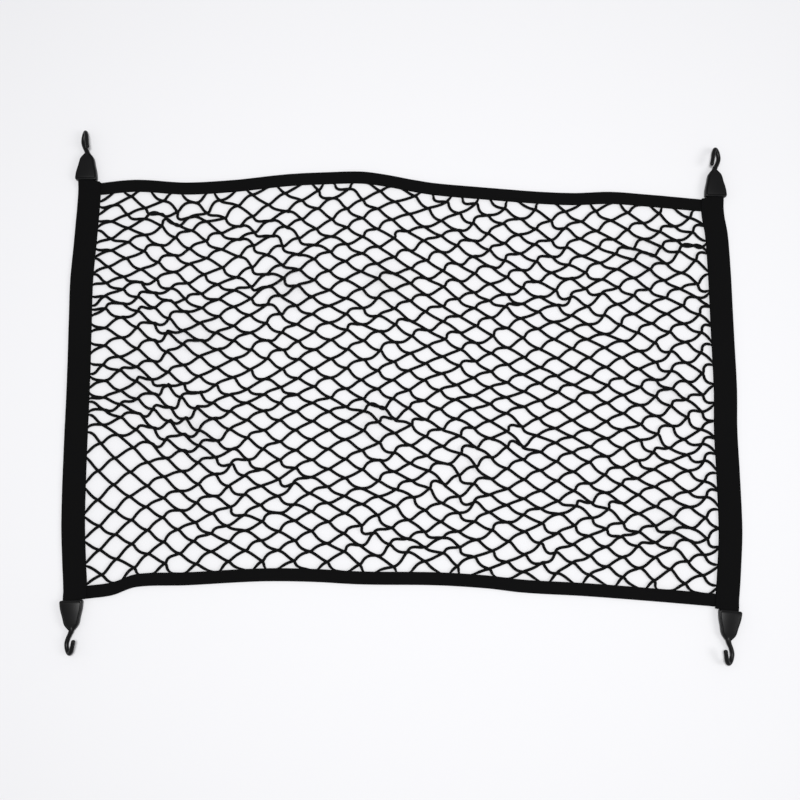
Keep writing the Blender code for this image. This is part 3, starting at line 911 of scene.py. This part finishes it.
def polyline_mesh(name, rows):
    """A mesh of edges along each line, with the cord's girth at every point."""
    places, edges, girths = [], [], []
    for line, edge in rows:
        first = len(places)
        places += [tuple(place * MM) for place in line]
        edges += [(first + k, first + k + 1) for k in range(len(line) - 1)]
        girths += list(blend(SLOT_GIRTH, 1.0, smooth_step(edge, GIRTH_START, GIRTH_END)))
    mesh = bpy.data.meshes.new(name)
    mesh.from_pydata(places, edges, [])
    mesh.attributes.new("girth", "FLOAT", "POINT").data.foreach_set("value", girths)
    return mesh


cord_pieces = {}
for way, rows in lines.items():
    piece = new_object("cords_" + way, polyline_mesh("cords_" + way, rows))
    run_tree(piece, sweep_tree, {"Radius": CORD_RADIUS * MM, "Sides": CORD_SIDES,
                                 "Steps": CORD_STEPS, "Material": cord})
    cord_pieces[way] = piece
    print(piece.name, "triangles:", triangle_count(piece))

# %% [markdown]
# At each joint the two cords are knitted into one. What shows is a slightly thicker, flattened knot of
# yarn that hides the crossing. It is one small ball, drawn long and pressed flat, that is repeated on every
# joint and turned with it.

# %% Tree that sets a knot on each joint
BALL_RADIUS = 0.5


def ball_node(tree, source):
    """A ball 1 m across, which each copy's own size then scales."""
    node = add_node(tree, "GeometryNodeMeshUVSphere")
    node.inputs["Radius"].default_value = BALL_RADIUS
    link_all(tree, [(source, name, node, name) for name in ("Segments", "Rings")])
    return node


def set_copies(tree, source, end, shape, points, rotation, sizes):
    """Set a smooth copy of a shape on each point, scaled by three named inputs, and close the tree."""
    smooth = add_node(tree, "GeometryNodeSetShadeSmooth")
    size = add_node(tree, "ShaderNodeCombineXYZ")
    copies = add_node(tree, "GeometryNodeInstanceOnPoints")
    feed(tree, smooth.inputs["Geometry"], shape)
    feed(tree, copies.inputs["Points"], points)
    feed(tree, copies.inputs["Rotation"], rotation)
    link_all(tree, [(source, name, size, axis) for name, axis in zip(sizes, "XYZ")])
    link_all(tree, [(smooth, "Geometry", copies, "Instance"), (size, "Vector", copies, "Scale")])
    end_tree(tree, copies.outputs["Instances"], source, end)


knot_tree, knot_in, knot_out = new_tree(
    "knit_joints", [("Segments", "Int"), ("Rings", "Int"), ("Length", "Float"), ("Width", "Float"),
                    ("Height", "Float"), ("Material", "Material")])
ball = ball_node(knot_tree, knot_in)
ball_uv = uv_node(knot_tree)
ball_scale = add_node(knot_tree, "ShaderNodeVectorMath", operation="SCALE")
ball_scale.inputs["Scale"].default_value = round_the_cord
turn = attribute_node(knot_tree, "turn")
turn_vector = add_node(knot_tree, "ShaderNodeCombineXYZ")
turn_rotation = add_node(knot_tree, "FunctionNodeEulerToRotation")
link_all(knot_tree, [
    (ball, "Mesh", ball_uv, "Geometry"),
    (ball, "UV Map", ball_scale, "Vector"),
    (ball_scale, "Vector", ball_uv, "Value"),
    (turn, "Attribute", turn_vector, "Z"),
    (turn_vector, "Vector", turn_rotation, "Euler"),
])
set_copies(knot_tree, knot_in, knot_out, ball_uv.outputs["Geometry"], knot_in.outputs["Geometry"],
           turn_rotation.outputs["Rotation"], ("Length", "Width", "Height"))

# %% The knots
KNOT_SEGMENTS = 8
KNOT_RINGS = 6
KNOT_LENGTH = 6.4
KNOT_WIDTH = 3.9
KNOT_HEIGHT = 3.0

free_joints = np.flatnonzero(~held)
joint_height, _ = net_height(joints_now[free_joints])
knot_mesh = bpy.data.meshes.new("knit_joints")
knot_mesh.from_pydata([tuple(place * MM) for place in
                       np.column_stack([joints_now[free_joints], joint_height])], [], [])
through = (points[after["rising"][free_joints]] + points[after["falling"][free_joints]]
           - points[before["rising"][free_joints]] - points[before["falling"][free_joints]])
turns = np.arctan2(through[:, 1], through[:, 0])
knot_mesh.attributes.new("turn", "FLOAT", "POINT").data.foreach_set("value", turns)
knot_piece = new_object("knit_joints", knot_mesh)
run_tree(knot_piece, knot_tree, {"Segments": KNOT_SEGMENTS, "Rings": KNOT_RINGS, "Length": KNOT_LENGTH * MM,
                                 "Width": KNOT_WIDTH * MM, "Height": KNOT_HEIGHT * MM, "Material": cord})
print("knots:", len(free_joints), "triangles:", triangle_count(knot_piece))


# %% [markdown]
# ## The bands
#
# Each band is webbing folded lengthways over the edge of the net and sewn shut. Its section is one bent
# strip: a soft fold outside, and two layers with the net's edge between them, open on the inside. Running
# that section along the band's edge gives the whole piece. The upper layer dips along the stitches and
# ripples a little, as sewn tape does.

# %% Section of folded webbing
FOLD_RADIUS = 1.9
LIP_ROUND = 0.35
STITCH_FROM_LIP = 3.0
STITCH_DIP = 0.35
STITCH_DIP_WIDTH = 1.3
DIP_STEPS = (-1.6, -0.7, 0.0, 0.7, 1.6)
PLAIN_SHARES = (0.0, 0.3, 0.65)
FOLD_ANGLES = np.radians([-60, -30, 0, 30, 60])
INNER_FOLD_ANGLES = np.radians([50, 0, -50])


def band_section(width):
    """(distance in from the fold, height) once round one folded tape, from the fold's lowest point."""
    middle = BAND_THICKNESS / 2
    fold = [(FOLD_RADIUS * (1 - math.cos(a)), middle + middle * math.sin(a)) for a in FOLD_ANGLES]
    stitch = width - STITCH_FROM_LIP
    along_tape = [blend(FOLD_RADIUS, stitch, share) for share in PLAIN_SHARES]
    along_tape += [stitch + off for off in DIP_STEPS] + [width - LIP_ROUND]
    upper = [(place, BAND_THICKNESS) for place in along_tape]
    lower = [(place, 0.0) for place in reversed(along_tape)]
    upper_lip = [(width, BAND_THICKNESS - LIP_ROUND), (width, BAND_THICKNESS - TAPE + LIP_ROUND)]
    lower_lip = [(width, TAPE - LIP_ROUND), (width, LIP_ROUND)]
    upper_inside = [(place, BAND_THICKNESS - TAPE) for place in reversed(along_tape[1:])]
    lower_inside = [(place, TAPE) for place in along_tape[1:]]
    inner_fold = [(TAPE + (FOLD_RADIUS - TAPE) * (1 - math.cos(a)), middle + (middle - TAPE) * math.sin(a))
                  for a in INNER_FOLD_ANGLES]
    return fold + upper + upper_lip + upper_inside + inner_fold + lower_inside + lower_lip + lower


print("points round a band:", len(band_section(SIDE_WIDTH)))

# %% Dips and ripples
Ripple = namedtuple("Ripple", "wavelength height slant phase")
RIPPLES = [Ripple(61.0, 0.20, 0.4, 0.3), Ripple(23.0, 0.12, -0.7, 1.9), Ripple(11.0, 0.06, 1.3, 4.0)]


def ripple(along, across):
    """Height of the tape's slow waves at a place along and across it."""
    return sum(row.height * math.sin(2 * math.pi * (along + row.slant * across) / row.wavelength
                                     + row.phase) for row in RIPPLES)


def upper_height(inward, height, width, along):
    """Height of a section point once the stitches pull it down and the tape ripples."""
    if height < BAND_THICKNESS / 2:
        return height
    off = (inward - (width - STITCH_FROM_LIP)) / STITCH_DIP_WIDTH
    eased = smooth_step(height, BAND_THICKNESS / 2, BAND_THICKNESS)
    rise = ripple(along, inward) - RIPPLES[0].height - STITCH_DIP * math.exp(-off * off)
    return height + rise * float(eased)


print("ripples up to", round(sum(row.height for row in RIPPLES), 2), "mm high")


# %% Helpers that skin rounds of points
def skin(mesh, loops):
    """Bridge each round of vertices to the next; gives (round, place in it, face) for every face."""
    faces = []
    for k, (lower, upper) in enumerate(zip(loops, loops[1:])):
        for i in range(len(lower)):
            j = (i + 1) % len(lower)
            faces.append((k, i, mesh.faces.new((lower[i], lower[j], upper[j], upper[i]))))
    return faces


def close_ends(mesh, loops):
    """Close a skin at its first and last round, and turn its faces outwards."""
    mesh.faces.new(loops[0])
    mesh.faces.new(loops[-1])
    bmesh.ops.recalc_face_normals(mesh, faces=mesh.faces)


def object_of(name, mesh):
    """Turn a bmesh into an object."""
    data = bpy.data.meshes.new(name)
    mesh.to_mesh(data)
    mesh.free()
    return new_object(name, data)


# %% A band from its rings
def band_piece(name, rings, along_places):
    """Skin the rings, close both ends, and write a UV map in metres across and along."""
    mesh = bmesh.new()
    loops = [[mesh.verts.new(Vector(point) * MM) for point in ring_points] for ring_points in rings]
    uv_layer = mesh.loops.layers.uv.new("UVMap")
    first = rings[0]
    across = [0.0]
    for a, b in zip(first, first[1:] + first[:1]):
        across.append(across[-1] + (Vector(b) - Vector(a)).length)
    for k, i, face in skin(mesh, loops):
        face.smooth = True
        for corner, (u, v) in zip(face.loops, ((i, k), (i + 1, k), (i + 1, k + 1), (i, k + 1))):
            corner[uv_layer].uv = (across[u] * MM, along_places[v] * MM)
    close_ends(mesh, loops)
    piece = object_of(name, mesh)
    piece.data.materials.append(webbing)
    return piece


# %% Side bands
BAND_STEP = 3.0
SHOULDER_STEPS = (0.8, 1.2, 1.6, 2.0, 2.4)


def strap_rise(side, y):
    """How far a side band is lifted, so that its strap meets the middle of the clip's pocket."""
    return (CLIP_THICKNESS - BAND_THICKNESS) / 2 * float(near_clip(side, y, STRAP_RISE_LENGTH))


def make_side_band(name, side):
    """One side band from clip to clip, with extra rings where its shoulders narrow to the straps."""
    low, high = mouths[side, -1] - STRAP_INSERT, mouths[side, 1] + STRAP_INSERT
    places = np.linspace(low, high, round((high - low) / BAND_STEP))
    shoulders = [mouths[side, end] - end * inset for end in (-1, 1) for inset in SHOULDER_STEPS]
    places = np.sort(np.concatenate([places, shoulders]))
    rings = []
    for y in places:
        width = float(side_width(side, y))
        rise = strap_rise(side, y)
        edge = float(side_edges[side](y))
        rings.append([(edge - side * inward, y, upper_height(inward, height, width, y) + rise)
                      for inward, height in band_section(width)])
    return band_piece(name, rings, places)


side_bands = {name: make_side_band("webbing_" + name, side) for name, side in SIDES.items()}
print("side bands:", [len(piece.data.polygons) for piece in side_bands.values()], "faces")

# %% [markdown]
# The hems run between the side bands. Near its end each hem is pressed flat, and it goes a little way in
# between the two layers of the side band, where it is sewn in.

# %% Hems
HEM_TUCK = 2.5
HEM_PRESSED = 1.5
HEM_PRESS_LENGTH = 6.0
HEM_RINGS = 248
FIRST_HALF_LENGTH = 372.0
REACH_ROUNDS = 3


def make_hem(name, end):
    """One hem from side band to side band: each line of its section runs on its own until it meets them."""
    edge = hem_edges[end]
    shares = np.linspace(0.0, 1.0, HEM_RINGS)
    section = band_section(HEM_WIDTH)
    x = {}
    for inward in sorted(set(point[0] for point in section)):
        reached = blend(-FIRST_HALF_LENGTH, FIRST_HALF_LENGTH, shares)
        for _ in range(REACH_ROUNDS):
            y = edge(reached) - end * inward
            reached = blend(side_inner(-1, y) - HEM_TUCK, side_inner(1, y) + HEM_TUCK, shares)
        x[inward] = reached
    middle = BAND_THICKNESS / 2
    rings = []
    for k in range(len(shares)):
        ring_points = []
        for inward, height in section:
            place = float(x[inward][k])
            to_end = min(place - x[inward][0], x[inward][-1] - place) - HEM_TUCK
            pressed = blend(HEM_PRESSED / BAND_THICKNESS, 1.0,
                            float(smooth_step(to_end, 0, HEM_PRESS_LENGTH)))
            full = upper_height(inward, height, HEM_WIDTH, place)
            ring_points.append((place, float(edge(place)) - end * inward,
                                middle + (full - middle) * pressed))
        rings.append(ring_points)
    return band_piece(name, rings, x[section[0][0]])


hems = {name: make_hem("webbing_" + name, end) for name, end in ENDS.items()}
print("hems:", [len(piece.data.polygons) for piece in hems.values()], "faces")

# %% [markdown]
# ## The clips
#
# Each clip is one moulding: a flat body like a shield, hollow at its wide end where the strap goes in, and
# a round hook that turns back at the narrow end. The body is built as a stack of outlines. Each outline is
# the same shield, drawn in by its inset and lifted to its height, so the edge rounds over, a low bead shows
# where the mould parts, a thin groove runs round the face, and the face stands up again inside it.

# %% Body of a clip
BodyRing = namedtuple("BodyRing", "along half_width bottom top")
BODY_RINGS = [
    BodyRing(0.0, 11.6, 0.0, 8.8), BodyRing(0.7, 12.7, 0.0, 8.8), BodyRing(2.0, 13.2, 0.0, 8.8),
    BodyRing(10.0, 12.4, 0.0, 8.8), BodyRing(19.0, 10.2, 0.2, 8.6), BodyRing(28.0, 8.0, 0.9, 8.1),
    BodyRing(34.0, 3.4, 1.7, 7.5),
]
BODY_STATIONS = [0.0, 0.3, 0.7, 1.2, 2.0, 4.0, 7.0, 10.0, 13.0, 16.0, 19.0, 22.0, 25.0, 27.0, 28.0,
                 29.0, 31.0, 33.0, 34.0]
LEAST_HALF_WIDTH = 0.3
NECK_INSET_SHARE = 0.6
EdgeStep = namedtuple("EdgeStep", "inset height_share")
EDGE_STEPS = [
    EdgeStep(1.20, 0.000), EdgeStep(0.50, 0.022), EdgeStep(0.12, 0.060), EdgeStep(0.00, 0.110),
    EdgeStep(0.00, 0.470), EdgeStep(-0.10, 0.485), EdgeStep(-0.10, 0.515), EdgeStep(0.00, 0.530),
    EdgeStep(0.00, 0.790), EdgeStep(0.15, 0.870), EdgeStep(0.45, 0.925), EdgeStep(0.95, 0.955),
    EdgeStep(1.35, 0.960), EdgeStep(1.60, 0.905), EdgeStep(2.15, 0.900), EdgeStep(2.45, 0.985),
    EdgeStep(2.90, 1.000),
]
body_half_width = smooth_line([(row.along, row.half_width) for row in BODY_RINGS])
body_bottom = smooth_line([(row.along, row.bottom) for row in BODY_RINGS])
body_top = smooth_line([(row.along, row.top) for row in BODY_RINGS])
body_length = BODY_RINGS[-1].along


def body_outline(step):
    """One outline of the stack: (sideways, along, height) along the left side, and along the right."""
    left, right = [], []
    for station in BODY_STATIONS:
        half = max(float(body_half_width(station)) - step.inset, LEAST_HALF_WIDTH)
        along_now = blend(step.inset, body_length - step.inset * NECK_INSET_SHARE, station / body_length)
        height = blend(float(body_bottom(station)), float(body_top(station)), step.height_share)
        left.append((-half, along_now, height))
        right.append((half, along_now, height))
    return left, right


def body_mesh(clip):
    """The stack of outlines, skinned and closed below and above, before it is stood in its place."""
    mesh = bmesh.new()
    stack = []
    for step in EDGE_STEPS:
        sides = [[mesh.verts.new(Vector((s, clip.end * a, h)) * MM) for s, a, h in side]
                 for side in body_outline(step)]
        stack.append(sides)
    skin(mesh, [left + right[::-1] for left, right in stack])
    for left, right in (stack[0], stack[-1]):
        for k in range(len(left) - 1):
            mesh.faces.new((left[k], left[k + 1], right[k + 1], right[k]))
    bmesh.ops.recalc_face_normals(mesh, faces=mesh.faces)
    return mesh


print("clip body:", len(EDGE_STEPS), "outlines of", 2 * len(BODY_STATIONS), "points")

# %% Line of the hook
HookPoint = namedtuple("HookPoint", "along out spread")
HOOK_LINE = [
    HookPoint(29.0, 0.0, 0.0), HookPoint(34.0, 0.2, 0.0), HookPoint(38.0, 1.8, 0.0),
    HookPoint(43.0, 4.5, 0.0), HookPoint(48.5, 6.3, 0.0), HookPoint(53.5, 6.5, 0.6),
    HookPoint(57.8, 6.4, 2.4), HookPoint(60.0, 6.4, 5.9), HookPoint(58.2, 6.4, 9.4),
    HookPoint(53.8, 6.4, 11.8), HookPoint(47.3, 6.2, 14.2),
]
HOOK_STEPS = 5
NECK_HEIGHT = 4.6
NECK_END = 34.0
SHANK_HEIGHT = 3.1
SHANK_START = 47.0
ARM_START_SPREAD = 6.0


def hook_path(clip):
    """Centre line of the hook, smooth through HOOK_LINE, leaning up by the clip's tilt."""
    tilt = math.radians(clip.hook_tilt)
    rows = []
    for point in HOOK_LINE:
        height = blend(NECK_HEIGHT, SHANK_HEIGHT, float(smooth_step(point.along, NECK_END, SHANK_START)))
        returned = float(smooth_step(point.spread, ARM_START_SPREAD, HOOK_LINE[-1].spread))
        sideways = point.spread * math.cos(tilt) - point.out
        rows.append(Vector((-clip.side * sideways, clip.end * (point.along - clip.arm_extra * returned),
                            height + point.spread * math.sin(tilt))))
    path = []
    for i in range(len(rows) - 1):
        before, start = rows[max(i - 1, 0)], rows[i]
        end, after = rows[i + 1], rows[min(i + 2, len(rows) - 1)]
        for step in range(HOOK_STEPS):
            t = step / HOOK_STEPS
            path.append(0.5 * ((2 * start) + (end - before) * t
                               + (2 * before - 5 * start + 4 * end - after) * t**2
                               + (3 * start - before - 3 * end + after) * t**3))
    return path + [rows[-1]]


# %% Rod along the hook's line
ROD_RADIUS = 2.6
ROD_SIDES = 20
ROD_TURNS = [2 * math.pi * i / ROD_SIDES for i in range(ROD_SIDES)]
ROOT_SHARE = 1.22
ROOT_START = 0.08
ROOT_END = 0.26
ROD_TIP_SHARE = 0.94
TIP_ROWS = 2.5
TIP_ANGLES = (30, 60)
TIP_ROUNDING = 0.7


def rod_mesh(path):
    """A round rod along a path, thicker at its root, with a rounded tip."""
    mesh = bmesh.new()
    loops = []

    def add_ring(place, radius, normal, side):
        loops.append([mesh.verts.new((place + radius * (math.cos(a) * normal + math.sin(a) * side)) * MM)
                      for a in ROD_TURNS])

    count = len(path)
    normal = Vector((0, 0, 1))
    for k in range(count):
        line = (path[min(k + 1, count - 1)] - path[max(k - 1, 0)]).normalized()
        normal = (normal - line * normal.dot(line)).normalized()
        side = line.cross(normal)
        share = k / (count - 1)
        root = 1.0 + (ROOT_SHARE - 1.0) * (1.0 - float(smooth_step(share, ROOT_START, ROOT_END)))
        tip = blend(ROD_TIP_SHARE, 1.0, float(smooth_step(count - 1 - k, 0, TIP_ROWS * HOOK_STEPS)))
        radius = ROD_RADIUS * root * tip
        add_ring(path[k], radius, normal, side)
    for angle in TIP_ANGLES:
        rise = radius * math.sin(math.radians(angle)) * TIP_ROUNDING
        add_ring(path[-1] + line * rise, radius * math.cos(math.radians(angle)), normal, side)
    skin(mesh, loops)
    close_ends(mesh, loops)
    return mesh


print("hook rod:", (len(HOOK_LINE) - 1) * HOOK_STEPS + 1, "rings,", 2 * ROD_RADIUS, "mm thick")

# %% [markdown]
# The pocket is cut from the body and the rod is joined to it with exact booleans, so that each clip is one
# closed moulding with no hidden walls. Each clip then stands at the end of its band, turned along the
# band's outer edge.

# %% Join, place and finish the clips
POCKET_DEPTH = 6.0
POCKET_OVERRUN = 2.0
POCKET_PLAY = 0.3
SLOPE_STEP = 2.0
SHARP_ANGLE = math.radians(38)


def clip_place(clip):
    """The matrix that stands a clip on the end of its band."""
    edge = side_edges[clip.side]
    rise = float(edge(clip.mouth + SLOPE_STEP) - edge(clip.mouth - SLOPE_STEP))
    middle = float(edge(clip.mouth)) - clip.side * STRAP_WIDTH / 2
    turned = Matrix.Rotation(-math.atan(rise / (2 * SLOPE_STEP)), 4, "Z")
    return Matrix.Translation((middle * MM, clip.mouth * MM, 0.0)) @ turned


def temporary(name, mesh, place):
    """Turn a bmesh into an object, with its place in its mesh."""
    mesh.transform(place)
    return object_of(name, mesh)


def make_clip(clip):
    """One clip: the body, less its pocket, with its hook."""
    place = clip_place(clip)
    pocket = bmesh.new()
    size = Vector((STRAP_WIDTH + 2 * POCKET_PLAY, POCKET_DEPTH + POCKET_OVERRUN,
                   BAND_THICKNESS + 2 * POCKET_PLAY)) * MM
    middle = Vector((0.0, clip.end * (POCKET_DEPTH - POCKET_OVERRUN) / 2, CLIP_THICKNESS / 2)) * MM
    bmesh.ops.create_cube(pocket, size=1.0,
                          matrix=Matrix.Translation(middle) @ Matrix.Diagonal((*size, 1.0)))
    piece = temporary("hook_" + clip.name, body_mesh(clip), place)
    tools = [(temporary("pocket", pocket, place), "DIFFERENCE"),
             (temporary("rod", rod_mesh(hook_path(clip)), place), "UNION")]
    for tool, operation in tools:
        cut = piece.modifiers.new(operation, "BOOLEAN")
        cut.object, cut.operation, cut.solver = tool, operation, "EXACT"
    bake(piece)
    for tool, _ in tools:
        bpy.data.objects.remove(tool)
    piece.data.shade_smooth()
    piece.data.set_sharp_from_angle(angle=SHARP_ANGLE)
    piece.data.materials.clear()
    piece.data.materials.append(plastic)
    return piece


clip_pieces = {clip.name: make_clip(clip) for clip in CLIPS}
print("clips:", {name: len(piece.data.polygons) for name, piece in clip_pieces.items()})


# %% [markdown]
# ## Stitches
#
# A row of thread runs along each band, a few millimetres from its inner edge, and holds the two layers
# and the net together. The thread dips into the tape between stitches, so only short, slightly raised
# dashes show. One dash is made and set along each row by Geometry Nodes.

# %% Tree that sets stitches along a line
stitch_tree, stitch_in, stitch_out = new_tree(
    "stitch_row", [("Segments", "Int"), ("Rings", "Int"), ("Pitch", "Float"), ("Length", "Float"),
                   ("Thickness", "Float"), ("Material", "Material")])
dash = ball_node(stitch_tree, stitch_in)
row_curve = add_node(stitch_tree, "GeometryNodeMeshToCurve")
row_points = add_node(stitch_tree, "GeometryNodeCurveToPoints", mode="LENGTH")
lay_along = add_node(stitch_tree, "FunctionNodeAxesToRotation", primary_axis="X", secondary_axis="Z")
lay_along.inputs["Secondary Axis"].default_value = (0, 0, 1)
link_all(stitch_tree, [
    (stitch_in, "Geometry", row_curve, "Mesh"),
    (row_curve, "Curve", row_points, "Curve"),
    (stitch_in, "Pitch", row_points, "Length"),
    (row_points, "Tangent", lay_along, "Primary Axis"),
])
set_copies(stitch_tree, stitch_in, stitch_out, dash.outputs["Mesh"], row_points.outputs["Points"],
           lay_along.outputs["Rotation"], ("Length", "Thickness", "Thickness"))

# %% Where the stitch rows run
ROW_END_GAP = 6.0
ROW_SINK = 0.1
HEM_ROW_HALF_LENGTH = 365.0


def stitch_height(inward, width, along_band):
    """Height of the stitches' middle, a little below the tape's own top."""
    return float(upper_height(inward, BAND_THICKNESS, width, along_band)) - ROW_SINK


stitch_rows = {}
for name, side in SIDES.items():
    row = []
    for y in np.arange(mouths[side, -1] + ROW_END_GAP, mouths[side, 1] - ROW_END_GAP, BAND_STEP):
        width = float(side_width(side, y))
        inward = width - STITCH_FROM_LIP
        height = stitch_height(inward, width, y) + strap_rise(side, y)
        row.append((float(side_edges[side](y)) - side * inward, y, height))
    stitch_rows[name] = row
for name, end in ENDS.items():
    inward = HEM_WIDTH - STITCH_FROM_LIP
    stitch_rows[name] = [(x, float(hem_edges[end](x)) - end * inward, stitch_height(inward, HEM_WIDTH, x))
                         for x in np.arange(-HEM_ROW_HALF_LENGTH, HEM_ROW_HALF_LENGTH, BAND_STEP)]
print("points on the stitch rows:", {name: len(row) for name, row in stitch_rows.items()})

# %% The stitches
STITCH_SEGMENTS = 6
STITCH_RINGS = 4
STITCH_PITCH = 4.0
STITCH_LENGTH = 3.0
STITCH_THICKNESS = 0.65

stitch_pieces = {}
for name, row in stitch_rows.items():
    mesh = bpy.data.meshes.new("stitches_" + name)
    mesh.from_pydata([Vector(place) * MM for place in row],
                     [(k, k + 1) for k in range(len(row) - 1)], [])
    piece = new_object("stitches_" + name, mesh)
    run_tree(piece, stitch_tree, {"Segments": STITCH_SEGMENTS, "Rings": STITCH_RINGS,
                                  "Pitch": STITCH_PITCH * MM, "Length": STITCH_LENGTH * MM,
                                  "Thickness": STITCH_THICKNESS * MM, "Material": webbing})
    stitch_pieces[name] = piece
print("stitches:", {name: len(piece.data.polygons) for name, piece in stitch_pieces.items()}, "faces")


# %% [markdown]
#
# Every piece rides on the one body, and the CAD solid that it stands for is hidden. The cords and their
# joints stand for the net panel, the webbing for the bands and the mouldings for the clips. The net and the
# bands are cloth, and the flat length and width of each band are worked out. Most of the net's panel is
# openings.

# %% Ride and replace, and the bands' flat sizes
SIDE_LENGTH = 0.52
HEM_LENGTH = 0.74

for piece in cord_pieces.values():
    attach(piece, "root")
    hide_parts("net_panel")
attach(knot_piece, "root")
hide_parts("net_panel")
bands = {**side_bands, **hems}
for name, piece in bands.items():
    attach(piece, "root")
    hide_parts("band_" + name)
    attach(stitch_pieces[name], "root")
for name, piece in clip_pieces.items():
    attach(piece, "root")
    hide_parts(name)

for name, piece in bands.items():
    if name in SIDES:
        length, width = SIDE_LENGTH, 2 * SIDE_WIDTH * MM
    else:
        length, width = HEM_LENGTH, 2 * HEM_WIDTH * MM
